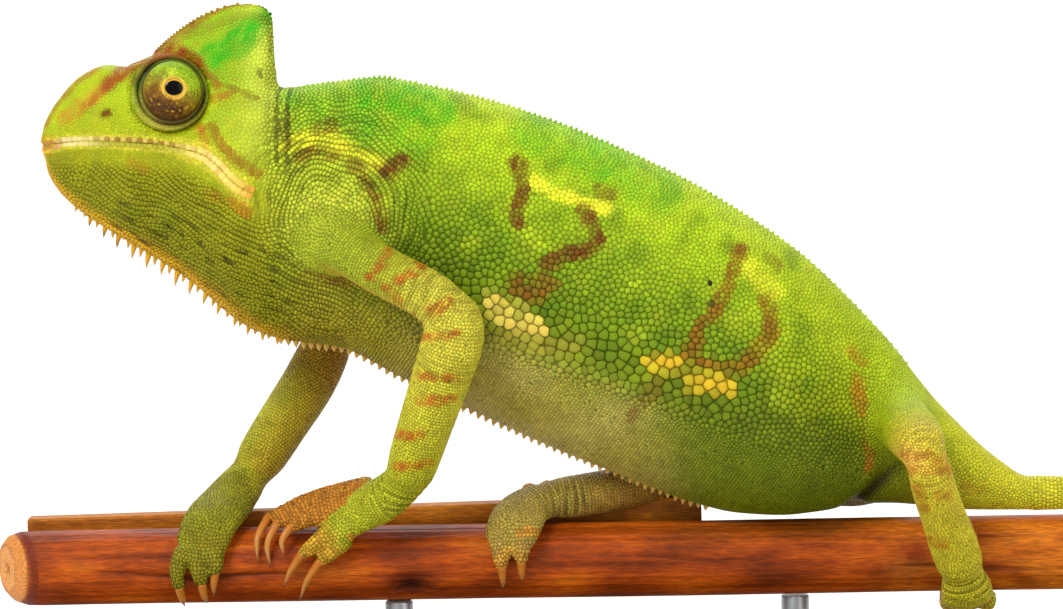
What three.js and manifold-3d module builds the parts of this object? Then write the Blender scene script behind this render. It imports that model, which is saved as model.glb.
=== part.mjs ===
// A veiled chameleon, life size, on a cut length of stick that two rods hold over a flat display base.
// Millimetres, +Z up. The animal faces -X, and its left side faces -Y.
// The body is one loft of upright cross-sections, parted into head, jaw, neck, trunk and tail.
// Limbs are tapered tubes. Where two pieces would meet, one of them is cut back by a thin gap.
import * as THREE from "three";
import { mergeVertices } from "three/addons/utils/BufferGeometryUtils.js";
import Module from "manifold-3d";

const wasm = await Module();
wasm.setup();

// ---- Driving dimensions ----

const GAP = 0.3; // clearance between neighbouring pieces
const SLIVER = 0.03; // facets flatter than this are merged after a cut
const JAW_END_X = -79; // back of the head and of the lower jaw
const NECK_END_X = -58;
const TRUNK_END_X = 50; // just behind the vent
const TAIL_ROOT_X = 62; // from here the tail is a round, tapering rod
const TAIL_ROOT_Z = 11.3;
const TAIL_ROOT_RADIUS = 3.5;
const TAIL_TIP_RADIUS = 0.7;
const CURL_X = 104; // the tail runs level to here and then coils downwards
const CURL_RADIUS = 16;
const CURL_CORE_RADIUS = 3.4;
const CURL_TURNS = 2.1;

const PERCH_RADIUS = 7.2;
const PERCH_X = [-129, 84];
const PERCH_HEIGHT = 48; // of the stick's axis above the floor
const LATH = { x: [-125.6, 1], y: [5.6, 10.2], z: [-5.5, 9.4], tilt: 0.018 };
const BASE = { length: 264, width: 100, height: 8, corner: 10, bevel: 1.2 };
const ROD_RADIUS = 2.6;
const ROD_X = { front: -56, rear: 18 };
const ANIMAL_X = 3.5; // the stick's frame, measured from the middle of the base

// ---- Outlines: height, width and section by place along the body ----

const BACK = [
  [-120.4, 80], [-119.5, 83.4], [-116.3, 88.5], [-112, 92.6], [-107.5, 94.3], [-104, 93.8],
  [-100, 95.6], [-96, 96.8], [-89, 94.9], [-80, 91.2], [-74.4, 89.6], [-66, 90.3],
  [-58, 91], [-50, 89.6], [-36, 86], [-24.6, 82], [-6, 73.6], [5, 67.4],
  [19.4, 57.3], [34, 42.6], [48.5, 25], [55.8, 18.3], [62, 14.8],
];
const BELLY = [
  [-120.4, 78.8], [-118.5, 72.6], [-114.4, 67.5], [-105.6, 61.3], [-94, 53.7], [-85, 45.8],
  [-80.7, 43.3], [-75, 41.7], [-66, 40.3], [-55, 34.8], [-44, 29.2], [-29, 22.1],
  [-14.5, 15.8], [0, 10], [7.5, 8.2], [15, 7.8], [22.3, 8.5], [27, 9.2],
  [31.7, 9.6], [35.4, 9.5], [41, 9], [46.4, 8.4], [52, 8], [62, 7.8],
];
const HALF_WIDTH = [
  [-120.4, 1.6], [-118.8, 3.6], [-116, 4.8], [-110, 6.2], [-104, 7.4], [-97, 8.2],
  [-90, 9.6], [-84, 11.2], [-78, 11.2], [-72, 10.6], [-66, 11.2], [-55, 12.8],
  [-40, 14.6], [-20, 16.4], [0, 17.2], [12, 17], [22, 15], [30, 11.8],
  [38, 9.2], [46, 7.2], [54, 5.2], [62, 3.6],
];
// The widest level, as a share of the height from belly to back.
const WIDEST = [
  [-120.4, 0.5], [-108, 0.56], [-90, 0.62], [-78, 0.64], [-66, 0.58], [-40, 0.47],
  [0, 0.42], [22, 0.38], [38, 0.45], [62, 0.5],
];
// Powers of the section: under 1 is boxy, over 1 draws in to a keel.
const ROOF = [[-120.4, 0.8], [-96, 0.8], [-78, 1], [-50, 1.15], [20, 1.2], [50, 1.05], [62, 1]];
const KEEL = [[-120.4, 0.9], [-110, 1.1], [-90, 1.25], [-60, 1.2], [0, 1.1], [30, 1], [62, 1]];
const MOUTH = [
  [-120.4, 79.6], [-110, 79.7], [-100.5, 79.1], [-95, 78.1], [-89.5, 76.2], [-85.8, 73.4],
  [-81.6, 69.2], [-79, 67.5],
];
// The casque's front and rear edges and half width, by height.
const CASQUE_FRONT = [
  [84, -100], [92, -100], [96, -99], [98, -97.1], [100.5, -93.9], [102.7, -90.4], [104.4, -86.2],
  [105.3, -82.2],
];
const CASQUE_REAR = [
  [84, -75.4], [89.7, -75.4], [92, -76.2], [97, -76.4], [101, -76.3], [103.2, -77], [104.4, -78.4],
  [105.3, -81.4],
];
const CASQUE_HALF_WIDTH = [[84, 8.4], [90, 6.6], [96, 3.9], [100, 2.5], [104, 1.2], [105.3, 0.5]];

// Cubic Hermite curve through a table of [place, value], flat where the values turn.
function along(table) {
  const slope = table.map((point, i) => {
    if (i === 0 || i === table.length - 1) return 0;
    const before = (point[1] - table[i - 1][1]) / (point[0] - table[i - 1][0]);
    const after = (table[i + 1][1] - point[1]) / (table[i + 1][0] - point[0]);
    return before * after <= 0 ? 0 : (2 * before * after) / (before + after);
  });
  return (x) => {
    let i = 0;
    while (i < table.length - 2 && x > table[i + 1][0]) i++;
    const [x0, y0] = table[i];
    const [x1, y1] = table[i + 1];
    const step = x1 - x0;
    const t = Math.min(1, Math.max(0, (x - x0) / step));
    const ends = y0 + (y1 - y0) * t * t * (3 - 2 * t);
    return ends + step * t * (1 - t) * ((1 - t) * slope[i] - t * slope[i + 1]);
  };
}

const back = along(BACK);
const belly = along(BELLY);
const halfWidth = along(HALF_WIDTH);
const widest = along(WIDEST);
const roof = along(ROOF);
const keel = along(KEEL);
const mouth = along(MOUTH);

// ---- Solids ----

// A closed geometry as a solid, with its faces turned out.
function solid(geometry) {
  const bare = geometry.clone();
  bare.deleteAttribute("normal");
  bare.deleteAttribute("uv");
  const merged = mergeVertices(bare, 1e-4);
  const triVerts = new Uint32Array(merged.index.array);
  const build = () =>
    new wasm.Manifold(
      new wasm.Mesh({ numProp: 3, vertProperties: merged.attributes.position.array, triVerts }),
    );
  const made = build();
  if (made.volume() > 0) return made;
  for (let i = 0; i < triVerts.length; i += 3) {
    [triVerts[i + 1], triVerts[i + 2]] = [triVerts[i + 2], triVerts[i + 1]];
  }
  return build();
}

// A closed shell through a list of rings, each { centre, at(angle) }. Both end rings are closed.
function loft(rings, around) {
  const shell = new THREE.SphereGeometry(1, around, rings.length + 1);
  const { position, uv } = shell.attributes;
  for (let i = 0; i < position.count; i++) {
    const row = Math.round((1 - uv.getY(i)) * (rings.length + 1));
    const ring = rings[Math.min(rings.length - 1, Math.max(0, row - 1))];
    const onPole = row === 0 || row === rings.length + 1;
    const point = onPole ? ring.centre : ring.at(uv.getX(i) * 2 * Math.PI);
    position.setXYZ(i, point.x, point.y, point.z);
  }
  return solid(shell);
}

const range = (count, from, to) =>
  Array.from({ length: count }, (_, i) => from + ((to - from) * i) / (count - 1));

// Upright section of the body at x. Angle 0 is the back, and a quarter turn on is the left side.
function bodyRing(x, grow, low = -Infinity, high = Infinity) {
  const top = back(x) + grow;
  const bottom = belly(x) - grow;
  const width = halfWidth(x) + grow;
  const level = bottom + widest(x) * (top - bottom);
  const clamp = (z) => Math.min(high, Math.max(low, z));
  return {
    centre: new THREE.Vector3(x, 0, clamp(level)),
    at(angle) {
      const up = Math.cos(angle);
      const side = Math.sin(angle);
      const power = up > 0 ? roof(x) : keel(x);
      const z = level + up * (up > 0 ? top - level : level - bottom);
      const y = -width * Math.sign(side) * Math.abs(side) ** power;
      return new THREE.Vector3(x, y, clamp(z));
    },
  };
}

// A ring across a curve: radius by height and by width, with `up` showing which way height is.
function crossRing(centre, tangent, up, height, width) {
  const side = new THREE.Vector3().crossVectors(tangent, up).normalize();
  const upright = new THREE.Vector3().crossVectors(side, tangent).normalize();
  return {
    centre,
    at: (angle) =>
      centre
        .clone()
        .addScaledVector(upright, height * Math.cos(angle))
        .addScaledVector(side, width * Math.sin(angle)),
  };
}

// A tapered rod through points, each [x, y, z, half height] or [x, y, z, half height, half width].
// Height is measured towards `up`. The ends are drawn in, or flat.
const DRAWN_IN = { share: 0.13, radius: 0.55 }; // share of the length that narrows, and to what
function rod(points, { grow = 0, steps = 8, around = 10, up = [0, 0, 1], rounded = true } = {}) {
  const line = points.map(([x, y, z]) => new THREE.Vector3(x, y, z));
  const curve = new THREE.CatmullRomCurve3(line, false, "centripetal");
  const share = (i) => i / (points.length - 1);
  const halfHeight = along(points.map((point, i) => [share(i), point[3]]));
  const halfWide = along(points.map((point, i) => [share(i), point[4] ?? point[3]]));
  const upright = new THREE.Vector3(...up);
  const { share: narrow, radius: endSize } = DRAWN_IN;
  const shares = rounded
    ? [0, narrow / 3, narrow, ...range(steps - 6, 0.35, 0.65), 1 - narrow, 1 - narrow / 3, 1]
    : range(steps, 0, 1);
  const size = (t) => {
    const fromEnd = Math.min(t, 1 - t);
    return rounded && fromEnd < narrow ? endSize + (1 - endSize) * Math.sqrt(fromEnd / narrow) : 1;
  };
  const rings = shares.map((t) => {
    const height = halfHeight(t) * size(t) + grow;
    const width = halfWide(t) * size(t) + grow;
    return crossRing(curve.getPoint(t), curve.getTangent(t), upright, height, width);
  });
  return loft(rings, around);
}

const joined = (solids) => solids.reduce((whole, piece) => whole.add(piece));

// The largest single body of a cut solid, so that no loose sliver stays.
function largest(cut) {
  return cut.decompose().reduce((best, body) => (body.volume() > best.volume() ? body : best));
}

// ---- Crests: rows of small cones on the middle line. The throat's are listed as [x, height] ----

const GULAR_CREST = [
  [-113.4, 0.9], [-110.8, 1.6], [-108, 2.1], [-105.4, 2.4], [-102.8, 2.6], [-100, 2.7],
  [-97.4, 2.7], [-94.8, 2.6], [-92.2, 2.4], [-89.4, 2], [-86.8, 1.7], [-84.2, 1.4], [-81.6, 1.2],
];
const CREST_PITCH = 3.8;
const NECK_CREST = { x: [-76, -60], height: 1 };
const BELLY_CREST = { x: [-55, 2], height: 1 };
const BACK_CREST = { x: [-54, 30], height: 0.6 };
const SPINE_RADIUS = { least: 0.35, perHeight: 0.35, most: 1 };

function spine(x, foot, height, upwards) {
  const radius = Math.min(SPINE_RADIUS.most, SPINE_RADIUS.least + SPINE_RADIUS.perHeight * height);
  const cone = new THREE.ConeGeometry(radius, height + radius, 4);
  if (upwards) cone.rotateX(Math.PI / 2);
  else cone.rotateX(-Math.PI / 2);
  const middle = (height - radius) / 2;
  cone.translate(x, 0, upwards ? foot + middle : foot - middle);
  return solid(cone);
}

const crestRow = ({ x: [from, to], height }, line, upwards) =>
  range(Math.round((to - from) / CREST_PITCH), from, to).map((x) => spine(x, line(x), height, upwards));

// ---- Body pieces ----

const BODY_SIDES = 18;
const HEAD_SIDES = 17; // an odd number, so that no two corners share a height on the mouth's seam
const CASQUE_SIDES = 14;
const HEAD_X = [
  -120.4, -120.1, -119.4, -118.3, -116.8, -114, -110.4, -106.4, -102.4, -98, -93.5, -89, -84.5,
  JAW_END_X,
];
const NECK_X = [JAW_END_X + GAP, -75.6, -72, -68, -64, NECK_END_X];
const TRUNK_X = [
  NECK_END_X + GAP, -52, -46, -39, -31, -23, -15, -7, 1, 8, 14, 19, 23.5, 27.5, 31, 34.5, 38.5, 43,
  TRUNK_END_X,
];
const VENT_X = [TRUNK_END_X + GAP, 55, 59];
const CASQUE_Z = [86, 91, 95, 98.5, 101, 103, 104.4, 105.3];
const CASQUE_EDGE = 0.3; // added to the section's power, so that the casque's edges are thin

const headRings = (grow, low, high) =>
  HEAD_X.map((x) => bodyRing(x === JAW_END_X ? x + grow : x, grow, low && low(x), high && high(x)));

const headShell = () => loft(headRings(0, (x) => mouth(x) + GAP / 2), HEAD_SIDES);

const casque = () => {
  const front = along(CASQUE_FRONT);
  const rear = along(CASQUE_REAR);
  const thick = along(CASQUE_HALF_WIDTH);
  const rings = CASQUE_Z.map((z) => ({
    centre: new THREE.Vector3((front(z) + rear(z)) / 2, 0, z),
    at(angle) {
      const reach = (rear(z) - front(z)) / 2;
      const y = thick(z) * Math.sin(angle) * Math.abs(Math.sin(angle)) ** CASQUE_EDGE;
      return new THREE.Vector3(this.centre.x + reach * Math.cos(angle), y, this.centre.z);
    },
  }));
  return loft(rings, CASQUE_SIDES);
};

const lowerJaw = (grow) => {
  const shell = loft(headRings(grow, null, (x) => mouth(x) - GAP / 2 + grow), HEAD_SIDES);
  return joined([shell, ...GULAR_CREST.map(([x, height]) => spine(x, belly(x), height, false))]);
};

const neck = (grow) => {
  const shell = loft(NECK_X.map((x) => bodyRing(x, grow)), BODY_SIDES);
  return joined([shell, ...crestRow(NECK_CREST, belly, false)]);
};

const trunk = (grow) => {
  const shell = loft(TRUNK_X.map((x) => bodyRing(x, grow)), BODY_SIDES);
  return joined([shell, ...crestRow(BELLY_CREST, belly, false), ...crestRow(BACK_CREST, back, true)]);
};

// The tail's middle line: level at first, then a flat coil that turns down and forwards.
const LEVEL_LENGTH = CURL_X - TAIL_ROOT_X;
const CURL_ANGLE = CURL_TURNS * 2 * Math.PI;
const CURL_LENGTH = ((CURL_RADIUS + CURL_CORE_RADIUS) / 2) * CURL_ANGLE;
const TAIL_LENGTH = LEVEL_LENGTH + CURL_LENGTH;
const TAIL_SAG = 0.6; // the level part's middle line drops by this as the tail thins
const TAIL_TAPER = 0.75; // power of the length by which the radius falls
const TAIL_FLATNESS = 0.9; // width over height
const CURL_CENTRE = new THREE.Vector3(CURL_X, 0, TAIL_ROOT_Z - TAIL_SAG - CURL_RADIUS);

function tailRing(distance, grow = 0) {
  const share = distance / TAIL_LENGTH;
  const radius = TAIL_ROOT_RADIUS + (TAIL_TIP_RADIUS - TAIL_ROOT_RADIUS) * share ** TAIL_TAPER + grow;
  const onCurl = Math.max(0, distance - LEVEL_LENGTH);
  // Arc length of a coil whose radius falls evenly: solve for the angle.
  const fall = (CURL_RADIUS - CURL_CORE_RADIUS) / CURL_ANGLE;
  const turned = (CURL_RADIUS - Math.sqrt(Math.max(0, CURL_RADIUS ** 2 - 2 * fall * onCurl))) / fall;
  const reach = CURL_RADIUS - fall * turned;
  const tangent = new THREE.Vector3(Math.cos(turned), 0, -Math.sin(turned));
  const up = new THREE.Vector3(Math.sin(turned), 0, Math.cos(turned));
  const centre = new THREE.Vector3(
    TAIL_ROOT_X + distance,
    0,
    TAIL_ROOT_Z - (TAIL_SAG * distance) / LEVEL_LENGTH,
  );
  if (onCurl) centre.copy(CURL_CENTRE).addScaledVector(up, reach);
  return crossRing(centre, tangent, up, radius, radius * TAIL_FLATNESS);
}

const TAIL_PARTS = {
  base: { from: 0, to: 30, rings: 5, sides: 12 },
  middle: { from: 30 + GAP, to: 98, rings: 14, sides: 9 },
  tip: { from: 98 + GAP, to: TAIL_LENGTH, rings: 21, sides: 7 },
};
const tailLength = ({ from, to, rings, sides }) =>
  loft(range(rings, from, to).map((d) => tailRing(d)), sides);
const tailBase = (grow) => {
  const { from, to, rings, sides } = TAIL_PARTS.base;
  const vent = VENT_X.map((x) => bodyRing(x, grow));
  return loft([...vent, ...range(rings, from, to).map((d) => tailRing(d, grow))], sides);
};

// An eye turret: a dome of lid inside a low fold. It looks sideways, a little up and a little back.
const EYE = {
  x: -95.6, y: 5.4, z: 89.1, fold: 7.1, dome: 5.3, root: -4, depth: 6.6, sides: 16,
  lookUp: THREE.MathUtils.degToRad(12), lookBack: THREE.MathUtils.degToRad(10),
};
const eye = (side, grow) => {
  const { fold, dome, root, depth } = EYE;
  const profile = [
    [0, root], [fold * 0.8, root * 0.75], [fold, 0], [fold * 0.94, depth * 0.17],
    [dome * 1.02, depth * 0.22], [dome * 0.98, depth * 0.47], [dome * 0.83, depth * 0.75],
    [dome * 0.6, depth * 0.92], [dome * 0.4, depth * 0.985], [0, depth],
  ].map(([r, h]) => new THREE.Vector2(r === 0 ? 0 : r + grow, h + Math.sign(h) * grow));
  const turret = new THREE.LatheGeometry(profile, EYE.sides);
  if (side < 0) turret.rotateX(Math.PI);
  turret.rotateX(side * EYE.lookUp);
  turret.rotateZ(-side * EYE.lookBack);
  turret.translate(EYE.x, side * EYE.y, EYE.z);
  return solid(turret);
};

// ---- Limbs. Points are [x, y, z, radius] in the stick's frame: x from its middle, z from its axis ----

const LIMBS = {
  left: {
    upper_arm: [
      [-71.5, -7, 64.5, 6.2], [-64.3, -13, 60.8, 5.3], [-57, -17, 57, 4.8],
      [-50, -19.8, 53.6, 4.9], [-44, -20.6, 49.6, 5.4],
    ],
    forearm: [
      [-43.2, -20.8, 53, 5.2], [-44.9, -19.8, 44, 5.9], [-47.2, -18.2, 37, 5.6],
      [-51.8, -13.6, 23.4, 5.1], [-54.4, -10, 15, 4.8],
    ],
    hand: [
      [-52.6, -10.6, 18.6, 4.2, 4.6], [-57.6, -8.4, 14, 4.2, 5], [-63.5, -7.2, 10.6, 3.2, 4.8],
      [-68.4, -8.6, 7.2, 2.3, 4],
    ],
    thigh: [[36.6, -4, 27, 6.6], [37.4, -14, 26.8, 6], [38.6, -26, 26.2, 5.1], [39.3, -35.4, 25, 4.5]],
    shank: [
      [39.3, -35.2, 25.2, 4.4], [41.2, -29.6, 18, 4.3], [43.4, -24, 11.9, 4.4], [46, -18.6, 4.8, 4.7],
      [48.3, -14.6, -1.8, 4.6],
    ],
    foot: [[48.2, -15, -1, 4.2, 5], [48.8, -12.8, -4.6, 3.6, 5.4], [49.6, -9, -7, 2.2, 5]],
  },
  right: {
    upper_arm: [
      [-71.5, 7, 64.5, 6.2], [-71.6, 14.6, 57.6, 5.2], [-70.4, 20, 49.4, 4.7], [-68.6, 22.6, 39.6, 4.9],
    ],
    forearm: [[-67, 23, 43, 5], [-72.6, 19.5, 31.8, 5.4], [-78, 14, 24, 5.2], [-84.6, 7.4, 14.4, 4.9]],
    hand: [
      [-83, 8.8, 16.6, 4.2, 4.7], [-87.4, 3, 11.8, 3.4, 5.2], [-90.6, -4, 8.8, 2.7, 5.6],
      [-92.8, -9, 3.4, 2, 5.2],
    ],
    thigh: [[37.6, 4, 20, 7], [33, 9, 13.6, 6.5], [21, 14.6, 13, 5.5], [8, 17.2, 14.8, 4.9]],
    shank: [
      [8.6, 17, 15.4, 4.6], [-2, 11.6, 14, 4.5], [-13, 6.4, 12.4, 4.4], [-24, 2.6, 11.4, 4.3],
      [-29.6, 1.8, 11.2, 4],
    ],
    foot: [
      [-26.8, 1.8, 11.4, 3.8, 4.2], [-31.6, -1.6, 10.4, 3.2, 5], [-34.2, -6.4, 7.9, 2.6, 5.6],
      [-35.2, -9.1, 3.9, 2, 4.9],
    ],
  },
};
const LIMB_SIDES = 10;
const LIMB_RINGS = { upper_arm: 8, forearm: 8, thigh: 8, shank: 8, hand: 9, foot: 9 };
// Which way the back of each hand and foot faces.
const BACK_OF = {
  left_hand: [-0.3, -0.6, 0.8],
  right_hand: [0, -0.6, 0.6],
  left_foot: [0, -0.8, -0.5],
  right_foot: [0, -0.5, 0.8],
};

// Toes by foot and bundle: three points along the toe, then the claw's bend and its tip.
const TOES = {
  left_hand: {
    inner: [
      [[-60.5, -4, 15.6], [-72, -1.8, 12.6], [-79.9, -3.6, 9.4], [-81.8, -6.6, 6.2], [-81.7, -7.8, 2]],
      [[-60, -5.6, 14.8], [-71, -4.4, 11.6], [-78.2, -5.3, 8.6], [-79.9, -7.4, 5.2], [-79.4, -7.9, 1.1]],
      [[-59.6, -7, 13.6], [-69.4, -6.4, 10.4], [-75.6, -6.4, 8.2], [-77.2, -7.8, 5.8], [-76.8, -8, 3.3]],
    ],
    outer: [
      [[-66.6, -8, 8.6], [-70.8, -9.1, 5.8], [-73.6, -8.8, 3.4], [-75.7, -8.3, 0.3], [-77.1, -7, -2.9]],
      [[-65.2, -8.6, 6.4], [-67.8, -9.2, 4], [-70.2, -9, 2.1], [-72.7, -8.2, -1.6], [-74.2, -6.2, -5.6]],
    ],
  },
  right_hand: {
    inner: [
      [[-95, -8.3, 5], [-96.6, -9.2, 1.2], [-96.2, -8.8, -2.6], [-95.8, -7.9, -4.8], [-95.6, -6.2, -6.2]],
      [[-92.2, -8.4, 5], [-92.7, -9.3, 1], [-92, -9, -2], [-91.7, -8.3, -4.2], [-91.4, -6.8, -5.6]],
      [[-89.6, -8.4, 5], [-89.3, -9.2, 2.4], [-89.6, -9.2, 0], [-89.9, -8.8, -2.2], [-90, -7.6, -4.2]],
    ],
    outer: [
      [[-88, 4.6, 12.8], [-89.2, 9.6, 12.2], [-89.8, 12.4, 8.8], [-89.9, 12.5, 6.2], [-89.8, 11.3, 3.9]],
      [[-84.4, 6.2, 13], [-85.2, 10.4, 11.8], [-85.8, 12.6, 8.4], [-86, 12.6, 5.8], [-86, 11.3, 3.5]],
    ],
  },
  left_foot: {
    inner: [
      [[47.4, -10.6, -3], [46.6, -9.6, 2.2], [46.2, -7.1, 6.1], [46, -5.4, 7.4], [45.8, -3.4, 7.7]],
      [[50.8, -10.4, -3], [50.2, -9.5, 2.4], [49.8, -6.9, 6.3], [49.6, -5.2, 7.5], [49.4, -3.2, 7.8]],
    ],
    outer: [
      [[46.6, -8.6, -6.6], [46.2, -4.4, -8.5], [46, 1.6, -9.2], [46, 4.4, -8], [46.2, 6.2, -5.6]],
      [[49.8, -8.4, -6.8], [49.8, -4, -8.7], [49.8, 2.4, -9.1], [49.8, 5.2, -7.6], [49.8, 6.8, -5]],
      [[53, -8.6, -6.6], [53.4, -4.6, -8.5], [53.6, 1.2, -9.2], [53.6, 4, -8.2], [53.4, 5.9, -5.9]],
    ],
  },
  right_foot: {
    inner: [
      [[-37.2, -8.4, 5.6], [-36.9, -9.2, 2.6], [-36.6, -9.2, 0.2], [-36.5, -8.7, -1.8], [-36.5, -7.6, -3.6]],
      [[-33, -8.4, 5.8], [-32.9, -9.2, 3.4], [-33, -9.3, 1.2], [-33, -8.9, -0.7], [-32.9, -7.9, -2.4]],
    ],
    outer: [
      [[-31, 2, 10.8], [-31.4, 7.6, 11.9], [-31.6, 12.2, 9.4], [-31.7, 12.5, 6.8], [-31.6, 11.3, 4.5]],
      [[-27.8, 3, 11.2], [-28, 8.2, 12.2], [-28.2, 12.4, 9.4], [-28.2, 12.6, 6.8], [-28.2, 11.4, 4.5]],
      [[-24.6, 4, 11.8], [-24.6, 8.6, 12.5], [-24.8, 12.3, 9.8], [-24.8, 12.6, 7.2], [-24.8, 11.4, 4.9]],
    ],
  },
};
const TOE_RADII = [2, 1.7, 1.4];
const CLAW_RADII = [0.9, 0.6, 0.2];
const TOE_STYLE = { steps: 4, around: 6, up: [1, 0, 0.01], rounded: false };
const CLAW_STYLE = { ...TOE_STYLE, around: 5 };

const toe = (points, grow) =>
  rod(points.slice(0, 3).map((place, i) => [...place, TOE_RADII[i]]), { ...TOE_STYLE, grow });

// A claw starts a gap past the toe's flat end, and bends to its tip.
const claw = ([, , end, bend, tip]) => {
  const start = new THREE.Vector3(...end);
  const next = new THREE.Vector3(...bend);
  start.addScaledVector(next.clone().sub(start).normalize(), GAP);
  return rod([start.toArray(), bend, tip].map((place, i) => [...place, CLAW_RADII[i]]), CLAW_STYLE);
};

// ---- Perch and stand ----

// The stick: a round rod whose front end is cut askew and worn. Each ring is [x, share of the radius].
const PERCH_SIDES = 18;
const PERCH_RINGS = [
  [PERCH_X[0], 0.66], [PERCH_X[0] + 1.2, 0.86], [PERCH_X[0] + 3.4, 0.97], [PERCH_X[0] + 7, 1],
  [-60, 1], [10, 1], [PERCH_X[1] - 0.6, 1], [PERCH_X[1], 0.94],
];
const END_SKEW = 0.45; // how far the first rings lean along the stick, per millimetre across it
const SKEWED_RINGS = 3;
const perch = (grow) =>
  loft(
    PERCH_RINGS.map(([x, size], i) => ({
      centre: new THREE.Vector3(x - (i === 0 ? grow : 0), 0, 0),
      at(angle) {
        const radius = PERCH_RADIUS * size + grow;
        const lean = i < SKEWED_RINGS ? END_SKEW * radius * Math.sin(angle) : 0;
        return new THREE.Vector3(x + lean, -radius * Math.sin(angle), radius * Math.cos(angle));
      },
    })),
    PERCH_SIDES,
  );

// A flat strip of wood along the far side of the stick, rising a little towards the tail.
const lath = (grow) => {
  const { x, y, z, tilt } = LATH;
  const strip = new THREE.BoxGeometry(...[x, y, z].map(([low, high]) => high - low + 2 * grow));
  strip.rotateY(-tilt);
  strip.translate(...[x, y, z].map(([low, high]) => (low + high) / 2));
  return solid(strip);
};

const ROD_SIDES = 14;
const standRod = (x) => {
  const foot = BASE.height + GAP - PERCH_HEIGHT;
  const pin = new THREE.CylinderGeometry(ROD_RADIUS, ROD_RADIUS, -foot, ROD_SIDES);
  pin.rotateX(Math.PI / 2);
  pin.translate(x, 0, foot / 2);
  return solid(pin).subtract(perch(GAP));
};

const standBase = () => {
  const { length, width, height, corner, bevel } = BASE;
  const half = [length / 2 - corner, width / 2 - corner];
  const inset = corner - bevel;
  const outline = new THREE.Shape();
  outline.absarc(half[0], half[1], inset, 0, Math.PI / 2);
  outline.absarc(-half[0], half[1], inset, Math.PI / 2, Math.PI);
  outline.absarc(-half[0], -half[1], inset, Math.PI, 1.5 * Math.PI);
  outline.absarc(half[0], -half[1], inset, 1.5 * Math.PI, 2 * Math.PI);
  outline.closePath();
  const slab = new THREE.ExtrudeGeometry(outline, {
    depth: height - 2 * bevel,
    bevelThickness: bevel,
    bevelSize: bevel,
    bevelSegments: 1,
    curveSegments: 4,
  });
  slab.translate(-ANIMAL_X, 0, bevel - PERCH_HEIGHT);
  return solid(slab);
};

// ---- Finish: colour, roughness and metalness of each kind of piece ----

const finish = (color, roughness, metalness = 0) =>
  new THREE.MeshStandardMaterial({ color, roughness, metalness });
const SKIN = finish(0x8fb31f, 0.6);
const PALE_SKIN = finish(0xb7a83a, 0.6);
const EYE_SKIN = finish(0xa8a020, 0.45);
const CLAW = finish(0xc98a45, 0.4);
const WOOD = finish(0xa8521c, 0.65);
const DARK_WOOD = finish(0x3a2a20, 0.45);
const STEEL = finish(0x8c8f92, 0.3, 1);

// ---- Assembly ----

const chameleon = new THREE.Group();
chameleon.position.set(ANIMAL_X, 0, PERCH_HEIGHT);

function put(name, shape, material) {
  const mesh = largest(shape).asOriginal().simplify(SLIVER).getMesh();
  const geometry = new THREE.BufferGeometry();
  geometry.setAttribute("position", new THREE.BufferAttribute(mesh.vertProperties, mesh.numProp));
  geometry.setIndex(new THREE.BufferAttribute(mesh.triVerts, 1));
  geometry.computeVertexNormals();
  const node = new THREE.Mesh(geometry, material);
  node.name = name;
  chameleon.add(node);
}

const less = (shape, ...others) => others.reduce((rest, other) => rest.subtract(other), shape);

const SIDES = { left: -1, right: 1 };
const eyeRoom = Object.values(SIDES).map((side) => eye(side, GAP));
put("head", less(headShell().add(casque()), neck(GAP), ...eyeRoom), SKIN);
put("lower_jaw", lowerJaw(0), SKIN);
put("neck", neck(0), SKIN);
put("trunk", trunk(0), SKIN);
put("tail_base", tailBase(0), SKIN);
put("tail_middle", tailLength(TAIL_PARTS.middle), SKIN);
put("tail_tip", tailLength(TAIL_PARTS.tip), SKIN);
for (const [name, side] of Object.entries(SIDES)) put(`eye_${name}`, eye(side, 0), EYE_SKIN);

const bodyRoom = [lowerJaw(GAP), neck(GAP), trunk(GAP), tailBase(GAP)];
const perchRoom = [perch(GAP), lath(GAP)];

const limb = (side, part, grow = 0) => {
  const style = { grow, steps: LIMB_RINGS[part], around: LIMB_SIDES, up: BACK_OF[`${side}_${part}`] };
  return rod(LIMBS[side][part], style);
};

// One bundle of toes joined to a mitten, and its claws, each cut clear of what is near it.
function putBundle(name, toes, room) {
  const mitten = joined(toes.map((points) => toe(points, 0)));
  put(`${name}_toes`, less(mitten, ...room, ...perchRoom, ...bodyRoom), PALE_SKIN);
  const toeRoom = toes.map((points) => toe(points, GAP));
  toes.forEach((points, i) => {
    put(`${name}_claw_${i + 1}`, less(claw(points), ...toeRoom, ...perchRoom, ...bodyRoom), CLAW);
  });
}

for (const side of Object.keys(SIDES)) {
  for (const [upper, lower, end] of [["upper_arm", "forearm", "hand"], ["thigh", "shank", "foot"]]) {
    const lowerRoom = limb(side, lower, GAP);
    const endRoom = limb(side, end, GAP);
    put(`${side}_${upper}`, less(limb(side, upper), ...bodyRoom, lowerRoom), SKIN);
    put(`${side}_${lower}`, less(limb(side, lower), ...bodyRoom, ...perchRoom, endRoom), SKIN);
    put(`${side}_${end}`, less(limb(side, end), ...bodyRoom, ...perchRoom), SKIN);
    const { inner, outer } = TOES[`${side}_${end}`];
    const innerRoom = joined(inner.map((points) => toe(points, GAP)));
    putBundle(`${side}_${end}_inner`, inner, [endRoom, lowerRoom]);
    putBundle(`${side}_${end}_outer`, outer, [endRoom, lowerRoom, innerRoom]);
  }
}

put("perch", perch(0), WOOD);
put("perch_lath", less(lath(0), perch(GAP)), WOOD);
put("stand_rod_front", standRod(ROD_X.front), STEEL);
put("stand_rod_rear", standRod(ROD_X.rear), STEEL);
put("stand_base", standBase(), DARK_WOOD);

export default chameleon;
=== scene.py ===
import math

import bpy
import numpy as np
from mathutils import Matrix
from mathutils.bvhtree import BVHTree
from mathutils.kdtree import KDTree


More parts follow.
